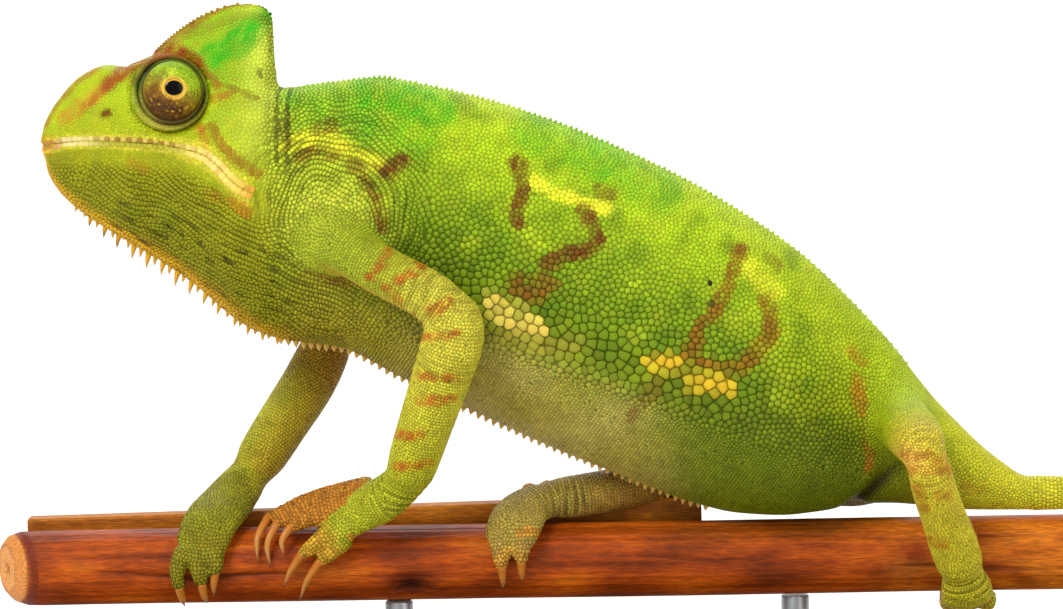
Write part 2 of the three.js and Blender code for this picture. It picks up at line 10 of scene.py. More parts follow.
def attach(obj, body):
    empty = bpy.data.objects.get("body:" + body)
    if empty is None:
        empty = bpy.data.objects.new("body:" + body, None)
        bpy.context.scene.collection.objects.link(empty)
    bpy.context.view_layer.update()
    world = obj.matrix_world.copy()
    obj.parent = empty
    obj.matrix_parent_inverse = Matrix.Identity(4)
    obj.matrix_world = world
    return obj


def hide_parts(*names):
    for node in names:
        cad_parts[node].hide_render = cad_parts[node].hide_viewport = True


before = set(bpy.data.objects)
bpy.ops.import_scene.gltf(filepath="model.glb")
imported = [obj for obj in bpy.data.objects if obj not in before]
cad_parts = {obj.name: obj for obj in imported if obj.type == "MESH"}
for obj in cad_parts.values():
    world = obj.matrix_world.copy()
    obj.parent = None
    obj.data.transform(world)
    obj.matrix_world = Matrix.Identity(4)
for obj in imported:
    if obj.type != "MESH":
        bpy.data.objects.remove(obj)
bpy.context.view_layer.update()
MM = 0.001

# ---- Camera ----
# Level with the animal's left side and a little above it, far enough away that the flank is drawn without
# strong perspective, and turned a touch so that the stick rises to the right.
AIM = np.array([-26.9, 0.0, 96.2])
VIEW_DISTANCE = 800.0
VIEW_ELEVATION = math.radians(8.0)
VIEW_ROLL = math.radians(0.9)
LENS_MM = 146.4

forward = np.array([0.0, math.cos(VIEW_ELEVATION), -math.sin(VIEW_ELEVATION)])
level_right = np.array([1.0, 0.0, 0.0])
level_up = np.cross(level_right, forward)
view_right = level_right * math.cos(VIEW_ROLL) - level_up * math.sin(VIEW_ROLL)
view_up = level_right * math.sin(VIEW_ROLL) + level_up * math.cos(VIEW_ROLL)


def frame_matrix(side, up, back, place):
    """Matrix with those three axes as its columns, and a place in mm as its origin."""
    matrix = Matrix.Identity(4)
    for row in range(3):
        matrix[row][0], matrix[row][1], matrix[row][2] = side[row], up[row], back[row]
        matrix[row][3] = place[row] * MM
    return matrix


camera = bpy.data.objects.new("camera", bpy.data.cameras.new("camera"))
camera.data.lens = LENS_MM
camera.data.clip_start = 0.02
camera.matrix_world = frame_matrix(view_right, view_up, -forward, AIM - forward * VIEW_DISTANCE)
bpy.context.scene.collection.objects.link(camera)
bpy.context.scene.camera = camera

# ---- Floor and lights ----
# A matt, near-white studio floor, one large soft lamp high on the animal's front left, a weaker one from
# the right, and an even pale surround.
bpy.context.scene.view_settings.view_transform = "Standard"


def linear(hex_colour):
    """sRGB hex to linear red, green and blue."""
    value = np.array([int(hex_colour[i:i + 2], 16) for i in (1, 3, 5)]) / 255
    return np.where(value <= 0.04045, value / 12.92, ((value + 0.055) / 1.055) ** 2.4)


def add_node(material, kind, links=None, **settings):
    """Adds a node, gives it its settings and input values, and links its inputs: {input: (node,
    output)}."""
    made = material.node_tree.nodes.new(kind)
    for key, value in settings.items():
        if key in made.bl_rna.properties:
            setattr(made, key, value)
        else:
            made.inputs[key.replace("_", " ")].default_value = value
    for key, (source, output) in (links or {}).items():
        material.node_tree.links.new(source.outputs[output], made.inputs[key])
    return made


def new_material(name):
    """An empty node material with its output node."""
    material = bpy.data.materials.new(name)
    material.use_nodes = True
    material.node_tree.nodes.clear()
    return material, material.node_tree.nodes.new("ShaderNodeOutputMaterial")


def painted_material(name):
    """A node material with its output, the `tint` attribute and the object's coordinates."""
    material, out = new_material(name)
    tint = add_node(material, "ShaderNodeAttribute", attribute_name="tint")
    return material, out, tint, add_node(material, "ShaderNodeTexCoord")


def mesh_object(name, points, quads, triangles=None, smooth=True):
    """A mesh object from points (n, 3) in mm of the stick's frame, quads (q, 4) and triangles (t, 3)."""
    triangles = np.zeros((0, 3), int) if triangles is None else triangles
    mesh = bpy.data.meshes.new(name)
    placed = (points + ANIMAL_AT) * MM
    mesh.vertices.add(len(placed))
    mesh.vertices.foreach_set("co", placed.astype(np.float32).ravel())
    corners = np.concatenate([quads.ravel(), triangles.ravel()]).astype(np.int32)
    mesh.loops.add(len(corners))
    mesh.loops.foreach_set("vertex_index", corners)
    starts = np.concatenate([np.arange(len(quads)) * 4, quads.size + np.arange(len(triangles)) * 3])
    mesh.polygons.add(len(starts))
    mesh.polygons.foreach_set("loop_start", starts.astype(np.int32))
    mesh.update(calc_edges=True)
    mesh.polygons.foreach_set("use_smooth", np.full(len(starts), smooth))
    made = bpy.data.objects.new(name, mesh)
    bpy.context.scene.collection.objects.link(made)
    return made


# The middle of the stick's axis, from the middle of the base's underside.
ANIMAL_AT = np.array([3.5, 0.0, 48.0])
FLOOR_HALF = 6000.0
FLOOR_LEVEL = -0.2
corners = np.array([[-1, -1], [1, -1], [1, 1], [-1, 1]]) * FLOOR_HALF
floor_points = np.column_stack([corners, np.full(len(corners), FLOOR_LEVEL)])
floor = mesh_object("floor", floor_points - ANIMAL_AT, np.array([[0, 1, 2, 3]]))
# Uncoated paper, matt so that the lamps leave no shine on it.
paper, out = new_material("matt_studio_paper")
paper_shader = add_node(paper, "ShaderNodeBsdfPrincipled", Base_Color=(*linear("#f6f6f4"), 1), Roughness=0.9)
paper.node_tree.links.new(paper_shader.outputs[0], out.inputs[0])
floor.data.materials.append(paper)


def soft_lamp(name, place, target, size, power):
    """A square area lamp at `place` that faces `target`, both in mm; its side is in mm and its power in
    watts."""
    lamp = bpy.data.lights.new(name, "AREA")
    lamp.size = size * MM
    lamp.energy = power
    made = bpy.data.objects.new(name, lamp)
    away = np.array(place, float) - np.array(target, float)
    away /= np.linalg.norm(away)
    side = np.cross([0, 0, 1], away)
    side /= np.linalg.norm(side)
    made.matrix_world = frame_matrix(side, np.cross(away, side), away, place)
    bpy.context.scene.collection.objects.link(made)


# Each lamp's place, target and side in mm, and its power in watts.
soft_lamp("lamp_key", (-500, -700, 900), (-20, 0, 80), 450, 9)
soft_lamp("lamp_fill", (800, -600, 500), (0, 0, 80), 700, 2)
soft_lamp("lamp_backdrop", (0, 3200, 2200), (0, 3000, 0), 3000, 120)
world = bpy.data.worlds.new("pale_surround")
world.use_nodes = True
SURROUND_STRENGTH = 0.6
world.node_tree.nodes["Background"].inputs["Color"].default_value = (1, 1, 1, 1)
world.node_tree.nodes["Background"].inputs["Strength"].default_value = SURROUND_STRENGTH
bpy.context.scene.world = world

# ---- Skin ----
# The animal's whole hide as one closed surface: body, casque, four limbs and twenty toes run into each
# other with soft folds at the joints. It lies inside the outline by the depth of the scales that grow on
# it.
COAT = 0.36
TOE_COAT = 0.22
SKIN_CELL = 0.69

# Outlines in millimetres from the stick's middle: x along the stick, z above its axis.
BACK = [
    (-120.4, 80), (-119.5, 83.4), (-116.3, 88.5), (-112, 92.6), (-107.5, 94.3), (-104, 93.8),
    (-100, 95.6), (-96, 96.8), (-89, 94.9), (-80, 91.2), (-74.4, 89.6), (-66, 90.3),
    (-58, 91), (-50, 89.6), (-36, 86), (-24.6, 82), (-6, 73.6), (5, 67.4),
    (19.4, 57.3), (34, 42.6), (48.5, 25), (55.8, 18.3), (62, 14.8),
]
BELLY = [
    (-120.4, 78.8), (-118.5, 72.6), (-114.4, 67.5), (-105.6, 61.3), (-94, 53.7), (-85, 45.8),
    (-80.7, 43.3), (-75, 41.7), (-66, 40.3), (-55, 34.8), (-44, 29.2), (-29, 22.1),
    (-14.5, 15.8), (0, 10), (7.5, 8.2), (15, 7.8), (22.3, 8.5), (27, 9.2),
    (31.7, 9.6), (35.4, 9.5), (41, 9), (46.4, 8.4), (52, 8), (62, 7.8),
]
HALF_WIDTH = [
    (-120.4, 1.6), (-118.8, 3.6), (-116, 4.8), (-110, 6.2), (-104, 7.4), (-97, 8.2),
    (-90, 9.6), (-84, 11.2), (-78, 11.2), (-72, 10.6), (-66, 11.2), (-55, 12.8),
    (-40, 14.6), (-20, 16.4), (0, 17.2), (12, 17), (22, 15), (30, 11.8),
    (38, 9.2), (46, 7.2), (54, 5.2), (62, 3.6),
]
WIDEST = [
    (-120.4, 0.5), (-108, 0.56), (-90, 0.62), (-78, 0.64), (-66, 0.58), (-40, 0.47),
    (0, 0.42), (22, 0.38), (38, 0.45), (62, 0.5),
]
ROOF = [(-120.4, 0.8), (-96, 0.8), (-78, 1), (-50, 1.15), (20, 1.2), (50, 1.05), (62, 1)]
KEEL = [(-120.4, 0.9), (-110, 1.1), (-90, 1.25), (-60, 1.2), (0, 1.1), (30, 1), (62, 1)]
MOUTH = [
    (-120.4, 79.2), (-115.5, 80.1), (-110, 80.4), (-98.8, 79.9), (-92.9, 78.8), (-89.8, 77.9),
    (-87, 75.8), (-84.6, 73.2), (-82.6, 71.7), (-80.4, 70.8),
]
# The casque, by height: where its front and rear edges are along the animal, and half its width.
CASQUE_FRONT = [
    (84, -100), (92, -100), (96, -99), (98, -97.1), (100.5, -93.9), (102.7, -90.4), (104.4, -86.2),
    (105.3, -82.2),
]
CASQUE_REAR = [
    (84, -75.4), (89.7, -75.4), (92, -76.2), (97, -76.4), (101, -76.3), (103.2, -77), (104.4, -78.4),
    (105.3, -81.4),
]
CASQUE_HALF_WIDTH = [(84, 8.4), (90, 6.6), (96, 3.9), (100, 2.5), (104, 1.2), (105.3, 0.5)]


def curve_through(table):
    """Cubic Hermite curve through (place, value) pairs; each slope is the harmonic mean of its neighbours',
    and nought where the values turn."""
    place, value = np.array(table, float).T
    rise = np.diff(value) / np.diff(place)
    slope = np.zeros(len(place))
    onward = rise[:-1] * rise[1:] > 0
    total = np.where(onward, rise[:-1] + rise[1:], 1)
    slope[1:-1] = np.where(onward, 2 * rise[:-1] * rise[1:] / total, 0)

    def at(where):
        where = np.clip(where, place[0], place[-1])
        i = np.clip(np.searchsorted(place, where) - 1, 0, len(place) - 2)
        step = place[i + 1] - place[i]
        t = (where - place[i]) / step
        ends = value[i] + (value[i + 1] - value[i]) * t * t * (3 - 2 * t)
        return ends + step * t * (1 - t) * ((1 - t) * slope[i] - t * slope[i + 1])
    return at


back, belly, half_width, widest = (curve_through(table) for table in (BACK, BELLY, HALF_WIDTH, WIDEST))
roof, keel, mouth = (curve_through(table) for table in (ROOF, KEEL, MOUTH))


def unit(vectors):
    """Vectors drawn to length one: each over the root of the sum of its squares."""
    return vectors / np.linalg.norm(vectors, axis=-1, keepdims=True)


def full_turn(number):
    """That many angles, evenly spaced round a circle from nought."""
    return np.arange(number) / number * 2 * math.pi


def body_ring(x, angle, grow):
    """Upright section at x: height is level plus cosine times the reach up or down; width is the half width
    times the sine to the power of the roof or keel. Angle nought is the back; a quarter turn on is the
    left."""
    top, bottom, wide = back(x) + grow, belly(x) - grow, half_width(x) + grow
    level = bottom + widest(x) * (top - bottom)
    upward, sideways = np.cos(angle), np.sin(angle)
    power = np.where(upward > 0, roof(x), keel(x))
    z = level + upward * np.where(upward > 0, top - level, level - bottom)
    y = -wide * np.sign(sideways) * np.abs(sideways) ** power
    return np.stack([np.broadcast_to(x, y.shape), y, z], -1)


def cross_ring(centre, tangent, up, height, width, angle):
    """Rings across a line: the centre plus cosine times height along `up`, and sine times width to the
    side."""
    side = unit(np.cross(tangent, up))
    upright = unit(np.cross(side, tangent))
    return (
        centre[:, None]
        + upright[:, None] * (height[:, None] * np.cos(angle))[..., None]
        + side[:, None] * (width[:, None] * np.sin(angle))[..., None]
    )


def tube_quads(rows, around):
    """Quads between the rings of a tube, with each ring's last point joined to its first."""
    index = np.arange(rows * around).reshape(rows, around)
    onward = np.roll(index, -1, axis=1)
    return np.stack([index[:-1], onward[:-1], onward[1:], index[1:]], -1).reshape(-1, 4)


def closed_loft(rings):
    """Points and faces of a tube through rings (rows, around, 3), closed at each end to its ring's
    middle."""
    rows, around = rings.shape[:2]
    ring = np.arange(around)
    onward = np.roll(ring, -1)
    last_ring, pole = (rows - 1) * around, rows * around
    first = np.stack([onward, ring, np.full(around, pole)], -1)
    last = np.stack([last_ring + ring, last_ring + onward, np.full(around, pole + 1)], -1)
    points = np.concatenate([rings.reshape(-1, 3), rings[0].mean(0)[None], rings[-1].mean(0)[None]])
    return points, tube_quads(rows, around), np.concatenate([first, last])


# The tail: level for its first length, then a flat coil that turns down and forwards in an even spiral.
TAIL_ROOT = np.array([62.0, 0.0, 11.3])
TAIL_RADII = (3.5, 0.7)
CURL_X = 104.0
CURL_RADIUS = 16.0
CURL_CORE_RADIUS = 3.4
CURL_ANGLE = 2.1 * 2 * math.pi
TAIL_SAG = 0.6
LEVEL_LENGTH = CURL_X - TAIL_ROOT[0]
TAIL_LENGTH = LEVEL_LENGTH + (CURL_RADIUS + CURL_CORE_RADIUS) / 2 * CURL_ANGLE


def tail_line(distance):
    """Centre, tangent, up and radius of the tail at a distance along it: a level line, then an even
    spiral."""
    radius = TAIL_RADII[0] + (TAIL_RADII[1] - TAIL_RADII[0]) * (distance / TAIL_LENGTH) ** 0.75
    on_curl = np.maximum(0, distance - LEVEL_LENGTH)
    fall = (CURL_RADIUS - CURL_CORE_RADIUS) / CURL_ANGLE
    turned = (CURL_RADIUS - np.sqrt(np.maximum(0, CURL_RADIUS ** 2 - 2 * fall * on_curl))) / fall
    reach = CURL_RADIUS - fall * turned
    hub_z = TAIL_ROOT[2] - TAIL_SAG - CURL_RADIUS
    x = np.where(on_curl > 0, CURL_X + reach * np.sin(turned), TAIL_ROOT[0] + distance)
    level_z = TAIL_ROOT[2] - TAIL_SAG * distance / LEVEL_LENGTH
    z = np.where(on_curl > 0, hub_z + reach * np.cos(turned), level_z)
    nought = np.zeros_like(x)
    tangent = np.stack([np.cos(turned), nought, -np.sin(turned)], -1)
    up = np.stack([np.sin(turned), nought, np.cos(turned)], -1)
    return np.stack([x, nought, z], -1), tangent, up, radius


# Limbs: each piece is a tapered rod through points of x, y, z, half height and, where it is flat, half
# width.
LIMBS = {
    "left_upper_arm": [(-71.5, -7, 64.5, 6.2), (-64.3, -13, 60.8, 5.3), (-57, -17, 57, 4.8),
                       (-50, -19.8, 53.6, 4.9), (-44, -20.6, 49.6, 5.4)],
    "left_forearm": [(-43.2, -20.8, 53, 5.2), (-44.9, -19.8, 44, 5.9), (-47.2, -18.2, 37, 5.6),
                     (-51.8, -13.6, 23.4, 5.1), (-54.4, -10, 15, 4.8)],
    "left_hand": [(-52.6, -10.6, 18.6, 4.2, 4.6), (-57.6, -8.4, 14, 4.2, 5), (-63.5, -7.2, 10.6, 3.2, 4.8),
                  (-68.4, -8.6, 7.2, 2.3, 4)],
    "left_thigh": [(36.6, -4, 27, 6.6), (37.4, -14, 26.8, 6), (38.6, -26, 26.2, 5.1),
                   (39.3, -35.4, 25, 4.5)],
    "left_shank": [(39.3, -35.2, 25.2, 4.4), (41.2, -29.6, 18, 4.3), (43.4, -24, 11.9, 4.4),
                   (46, -18.6, 4.8, 4.7), (48.3, -14.6, -1.8, 4.6)],
    "left_foot": [(48.2, -15, -1, 4.2, 5), (48.8, -12.8, -4.6, 3.6, 5.4), (49.6, -9, -7, 2.2, 5)],
    "right_upper_arm": [(-71.5, 7, 64.5, 6.2), (-71.6, 14.6, 57.6, 5.2), (-70.4, 20, 49.4, 4.7),
                        (-68.6, 22.6, 39.6, 4.9)],
    "right_forearm": [(-67, 23, 43, 5), (-72.6, 19.5, 31.8, 5.4), (-78, 14, 24, 5.2),
                      (-84.6, 7.4, 14.4, 4.9)],
    "right_hand": [(-83, 8.8, 16.6, 4.2, 4.7), (-87.4, 3, 11.8, 3.4, 5.2), (-90.6, -4, 8.8, 2.7, 5.6),
                   (-92.8, -9, 3.4, 2, 5.2)],
    "right_thigh": [(37.6, 4, 20, 7), (33, 9, 13.6, 6.5), (21, 14.6, 13, 5.5), (8, 17.2, 14.8, 4.9)],
    "right_shank": [(8.6, 17, 15.4, 4.6), (-2, 11.6, 14, 4.5), (-13, 6.4, 12.4, 4.4), (-24, 2.6, 11.4, 4.3),
                    (-29.6, 1.8, 11.2, 4)],
    "right_foot": [(-26.8, 1.8, 11.4, 3.8, 4.2), (-31.6, -1.6, 10.4, 3.2, 5), (-34.2, -6.4, 7.9, 2.6, 5.6),
                   (-35.2, -9.1, 3.9, 2, 4.9)],
}
# Which way the back of each hand and foot faces.
BACK_OF = {"left_hand": (-0.3, -0.6, 0.8), "right_hand": (0, -0.6, 0.6),
           "left_foot": (0, -0.8, -0.5), "right_foot": (0, -0.5, 0.8)}
# Toes by foot and bundle: root, middle and end of the toe, then the claw's bend and its tip.
TOES = {
    "left_hand_inner": [
        [(-60.5, -4, 15.6), (-72, -1.8, 12.6), (-79.9, -3.6, 9.4), (-81.8, -6.6, 6.2), (-81.7, -7.8, 2)],
        [(-60, -5.6, 14.8), (-71, -4.4, 11.6), (-78.2, -5.3, 8.6), (-79.9, -7.4, 5.2), (-79.4, -7.9, 1.1)],
        [(-59.6, -7, 13.6), (-69.4, -6.4, 10.4), (-75.6, -6.4, 8.2), (-77.2, -7.8, 5.8), (-76.8, -8, 3.3)]],
    "left_hand_outer": [
        [(-66.6, -8, 8.6), (-70.8, -9.1, 5.8), (-73.6, -8.8, 3.4), (-75.7, -8.3, 0.3), (-77.1, -7, -2.9)],
        [(-65.2, -8.6, 6.4), (-67.8, -9.2, 4), (-70.2, -9, 2.1), (-72.7, -8.2, -1.6), (-74.2, -6.2, -5.6)]],
    "right_hand_inner": [
        [(-95, -8.3, 5), (-96.6, -9.2, 1.2), (-96.2, -8.8, -2.6), (-95.8, -7.9, -4.8), (-95.6, -6.2, -6.2)],
        [(-92.2, -8.4, 5), (-92.7, -9.3, 1), (-92, -9, -2), (-91.7, -8.3, -4.2), (-91.4, -6.8, -5.6)],
        [(-89.6, -8.4, 5), (-89.3, -9.2, 2.4), (-89.6, -9.2, 0), (-89.9, -8.8, -2.2), (-90, -7.6, -4.2)]],
    "right_hand_outer": [
        [(-88, 4.6, 12.8), (-89.2, 9.6, 12.2), (-89.8, 12.4, 8.8), (-89.9, 12.5, 6.2), (-89.8, 11.3, 3.9)],
        [(-84.4, 6.2, 13), (-85.2, 10.4, 11.8), (-85.8, 12.6, 8.4), (-86, 12.6, 5.8), (-86, 11.3, 3.5)]],
    "left_foot_inner": [
        [(47.4, -10.6, -3), (46.6, -9.6, 2.2), (46.2, -7.1, 6.1), (46, -5.4, 7.4), (45.8, -3.4, 7.7)],
        [(50.8, -10.4, -3), (50.2, -9.5, 2.4), (49.8, -6.9, 6.3), (49.6, -5.2, 7.5), (49.4, -3.2, 7.8)]],
    "left_foot_outer": [
        [(46.6, -8.6, -6.6), (46.2, -4.4, -8.5), (46, 1.6, -9.2), (46, 4.4, -8), (46.2, 6.2, -5.6)],
        [(49.8, -8.4, -6.8), (49.8, -4, -8.7), (49.8, 2.4, -9.1), (49.8, 5.2, -7.6), (49.8, 6.8, -5)],
        [(53, -8.6, -6.6), (53.4, -4.6, -8.5), (53.6, 1.2, -9.2), (53.6, 4, -8.2), (53.4, 5.9, -5.9)]],
    "right_foot_inner": [
        [(-37.2, -8.4, 5.6), (-36.9, -9.2, 2.6), (-36.6, -9.2, 0.2), (-36.5, -8.7, -1.8),
         (-36.5, -7.6, -3.6)],
        [(-33, -8.4, 5.8), (-32.9, -9.2, 3.4), (-33, -9.3, 1.2), (-33, -8.9, -0.7), (-32.9, -7.9, -2.4)]],
    "right_foot_outer": [
        [(-31, 2, 10.8), (-31.4, 7.6, 11.9), (-31.6, 12.2, 9.4), (-31.7, 12.5, 6.8), (-31.6, 11.3, 4.5)],
        [(-27.8, 3, 11.2), (-28, 8.2, 12.2), (-28.2, 12.4, 9.4), (-28.2, 12.6, 6.8), (-28.2, 11.4, 4.5)],
        [(-24.6, 4, 11.8), (-24.6, 8.6, 12.5), (-24.8, 12.3, 9.8), (-24.8, 12.6, 7.2), (-24.8, 11.4, 4.9)]],
}
TOE_RADII = (2.0, 1.7, 1.4)
TOE_UP = (1, 0, 0.01)


def line_through(knots, share):
    """Centripetal Catmull-Rom curve through knots, its end slopes mirrored: places and tangents at the
    shares."""
    knots = np.array(knots, float)[:, :3]
    padded = np.concatenate([[2 * knots[0] - knots[1]], knots, [2 * knots[-1] - knots[-2]]])
    where = np.clip(share, 0, 1) * (len(knots) - 1)
    i = np.minimum(where.astype(int), len(knots) - 2)
    t = (where - i)[:, None]
    a, b, c, d = (padded[i + k] for k in range(4))
    gap_ab, gap_bc, gap_cd = (
        np.sqrt(np.linalg.norm(q - p, axis=1))[:, None] for p, q in ((a, b), (b, c), (c, d))
    )
    leave = ((b - a) / gap_ab - (c - a) / (gap_ab + gap_bc) + (c - b) / gap_bc) * gap_bc
    arrive = ((c - b) / gap_bc - (d - b) / (gap_bc + gap_cd) + (d - c) / gap_cd) * gap_bc
    cubic, square = 2 * b - 2 * c + leave + arrive, -3 * b + 3 * c - 2 * leave - arrive
    tangent = leave + 2 * square * t + 3 * cubic * t * t
    return b + leave * t + square * t * t + cubic * t ** 3, unit(tangent)


def rod_rings(knots, grow, around, up=(0, 0, 1), rounded=True, rows=41):
    """Rings of a tapered rod: radius by Hermite curve along it; a rounded end is drawn in by a square
    root."""
    knots = [(*k, k[3]) if len(k) == 4 else k for k in knots]
    share = np.linspace(0, 1, rows)
    places = np.linspace(0, 1, len(knots))
    height = curve_through(list(zip(places, [k[3] for k in knots])))(share)
    width = curve_through(list(zip(places, [k[4] for k in knots])))(share)
    from_end = np.minimum(share, 1 - share)
    drawn_in = 0.55 + 0.45 * np.sqrt(np.minimum(1, from_end / 0.13)) if rounded else 1
    centre, tangent = line_through(knots, share)
    height, width = height * drawn_in + grow, width * drawn_in + grow
    return cross_ring(centre, tangent, np.array(up, float), height, width, full_turn(around))


NOSE_X = BACK[0][0]
SNOUT_LENGTH = 8.0
TURN = full_turn(72)
body_x = np.concatenate([
    NOSE_X + 0.3 + SNOUT_LENGTH * np.linspace(0, 1, 25) ** 2,
    np.linspace(-112, TAIL_ROOT[0], 200)[1:],
])
body_rings = body_ring(body_x[:, None], TURN[None], -COAT)
tail_at = np.linspace(0, TAIL_LENGTH - 0.5, 220)[1:]
centre, tangent, up, radius = tail_line(tail_at)
tail_rings = cross_ring(centre, tangent, up, radius - COAT * 0.6, radius * 0.9 - COAT * 0.6, -TURN)
casque_z = np.linspace(84, 105.3 - COAT, 40)
casque_from = curve_through(CASQUE_FRONT)(casque_z) + COAT
casque_to = curve_through(CASQUE_REAR)(casque_z) - COAT
casque_wide = np.maximum(0.3, curve_through(CASQUE_HALF_WIDTH)(casque_z) - COAT * 0.7)
casque_rings = np.stack([
    ((casque_from + casque_to) / 2)[:, None] + ((casque_to - casque_from) / 2)[:, None] * np.cos(TURN),
    casque_wide[:, None] * np.sin(TURN) * np.abs(np.sin(TURN)) ** 0.3,
    np.broadcast_to(casque_z[:, None], (len(casque_z), len(TURN))),
], -1)
shapes = [np.concatenate([body_rings, tail_rings]), casque_rings]
shapes += [rod_rings(knots, -COAT, 32, BACK_OF.get(name, (0, 0, 1))) for name, knots in LIMBS.items()]
for bundle in TOES.values():
    for toe in bundle:
        knots = [(*place, size) for place, size in zip(toe[:3], TOE_RADII)]
        shapes.append(rod_rings(knots, -TOE_COAT, 16, TOE_UP, rounded=False))


def joined_lofts(shapes):
    """Points, quads and triangles of several closed lofts as one mesh."""
    blocks, faces, fans, count = [], [], [], 0
    for rings in shapes:
        points, quads, triangles = closed_loft(rings)
        blocks.append(points)
        faces.append(quads + count)
        fans.append(triangles + count)
        count += len(points)
    return np.concatenate(blocks), np.concatenate(faces), np.concatenate(fans)


flesh = mesh_object("flesh", *joined_lofts(shapes))
remesh = flesh.modifiers.new("one_surface", "REMESH")
remesh.mode = "VOXEL"
remesh.voxel_size = SKIN_CELL * MM
whole = bpy.data.meshes.new_from_object(flesh.evaluated_get(bpy.context.evaluated_depsgraph_get()))
bpy.data.objects.remove(flesh)


def read(collection, key, width, kind=np.float32):
    """One property of all the items of a mesh collection, as an array."""
    values = np.zeros(len(collection) * width, kind)
    collection.foreach_get(key, values)
    return values.reshape(-1, width)


skin_points = read(whole.vertices, "co", 3).astype(float) / MM - ANIMAL_AT
skin_quads = read(whole.polygons, "vertices", 4, np.int32)
skin_edges = read(whole.edges, "vertices", 2, np.int32)
bpy.data.meshes.remove(whole)


def smoothed(points, edges, rounds, share):
    """Each round moves every point towards the mean of its neighbours by a share of the way."""
    count = len(points)
    degree = np.bincount(edges.ravel(), minlength=count)[:, None]
    a, b = edges.T
    for _ in range(rounds):
        total = np.stack(
            [np.bincount(a, points[b, k], count) + np.bincount(b, points[a, k], count) for k in range(3)], -1
        )
        points = points + share * (total / degree - points)
    return points


def corner_normals(points, quads):
    """Unit normal at each point: the sum of the cross products of the diagonals of the faces round it."""
    across = np.cross(points[quads[:, 2]] - points[quads[:, 0]], points[quads[:, 3]] - points[quads[:, 1]])
    total = np.stack([
        sum(np.bincount(quads[:, k], across[:, axis], len(points)) for k in range(4)) for axis in range(3)
    ], -1)
    return total / np.maximum(1e-9, np.linalg.norm(total, axis=1))[:, None]


# Joints, where the hide is filled out by a longer smoothing: x, y, z and reach in millimetres.
JOINTS = [
    (-45, -20, 51, 5), (-54, -10.5, 17, 4.5), (39, -34, 24, 4), (48.5, -13, -3, 4),
    (-68, 22.5, 41, 5), (-84, 8, 15, 4.5), (8.5, 17, 15, 5), (-29, 1, 11, 4),
]
LIMB_ROOTS = [(-70, -10, 64, 8.5), (37, -9, 27, 8), (-71, 10, 61, 8.5), (35, 8, 16, 8)]


def filled_out(points, places, rounds):
    """Smooths the hide near some places: in full within the reach of each, and less up to twice as far."""
    nearness = np.zeros(len(points))
    for x, y, z, reach in places:
        off = np.linalg.norm(points - (x, y, z), axis=1) / reach
        nearness = np.maximum(nearness, np.clip(2 - off, 0, 1))
    return smoothed(points, skin_edges, rounds, 0.5 * nearness[:, None] ** 2)


skin_points = smoothed(skin_points, skin_edges, 3, 0.5)
skin_points = filled_out(skin_points, JOINTS, 22)
skin_points = filled_out(skin_points, LIMB_ROOTS, 110)


EYE = {"x": -95.6, "y": 5.4, "z": 89.1}
SOCKET_RADIUS = 7.2
# Lines of the head and neck in the side plane, as (x, z).
CANTHAL_RIDGE = [(-102.6, 93), (-106.5, 91), (-110, 88.5), (-113.5, 85.5), (-116.5, 82.5)]
BROW_RIDGE = [(-103, 92.6), (-100.4, 95.4), (-97.5, 96.8), (-94, 97), (-90.5, 96.4), (-87, 94), (-84, 91.4)]
CASQUE_RIDGE = [(-97.5, 97), (-92, 99.6), (-86, 101.6), (-81, 102.8), (-78, 101.6), (-77, 98), (-77, 93),
                (-76, 89.6)]
JAW_HINGE_FOLD = [(-76.2, 90), (-76.6, 84), (-78, 78.5), (-80, 73.5), (-80.6, 68)]
NOSTRIL = (-107.5, 85.2)
SHOULDER_HUB = (-66.5, 66.5)
THROAT_SLOPE = math.radians(28)
BELLY_SLOPE = math.radians(58)


def line_distance(x, z, line):
    """Distance in the side plane from each point to a broken line, and the share of the line at the
    nearest."""
    line = np.array(line, float)
    nearest, share, run = np.full(x.shape, np.inf), np.zeros(x.shape), 0.0
    length = np.linalg.norm(np.diff(line, axis=0), axis=1)
    for (ax, az), (bx, bz), long in zip(line[:-1], line[1:], length):
        t = np.clip(((x - ax) * (bx - ax) + (z - az) * (bz - az)) / long ** 2, 0, 1)
        off = np.hypot(x - ax - t * (bx - ax), z - az - t * (bz - az))
        share = np.where(off < nearest, (run + t * long) / length.sum(), share)
        nearest = np.minimum(nearest, off)
        run += long
    return nearest, share


def bell(distance, reach):
    """Smooth bump: 1 at nought distance, falling as a Gaussian of that reach."""
    return np.exp(-((distance / reach) ** 2))


def step(value, low, high):
    """Smooth rise from 0 at low to 1 at high."""
    t = np.clip((value - low) / (high - low), 0, 1)
    return t * t * (3 - 2 * t)


def ripple(points, size, seed):
    """Smooth random field of about that wave length in mm: the mean of nine cosines in random
    directions."""
    lot = np.random.default_rng(seed)
    field = np.zeros(len(points))
    for _ in range(9):
        way = lot.normal(size=3)
        way *= 2 * math.pi / size / np.linalg.norm(way) * lot.uniform(0.7, 1.4)
        field += np.cos(points @ way + lot.uniform(0, 2 * math.pi))
    return field / 9 * 1.9


# Middle lines of limbs, toes and tail, sampled, so that a point of the hide can be told which part it is
# on. Distances run on from piece to piece down a limb, and each toe of a bundle has a stretch of its own.
PART_NAMES = ["body", "tail", *LIMBS, *TOES]
BODY, TAIL = 0, 1
TOES_FROM = 90
TOE_STRETCH = 30
LIMB_START = {"upper_arm": 0, "forearm": 30, "hand": 72, "thigh": 0, "shank": 38, "foot": 76}


def lengths_along(points):
    """Length from the first point to each, straight from one to the next."""
    return np.concatenate([[0], np.cumsum(np.linalg.norm(np.diff(points, axis=0), axis=1))])


def parts(*words):
    """Numbers of the parts whose names hold any of the words."""
    return [i for i, name in enumerate(PART_NAMES) if any(word in name for word in words)]


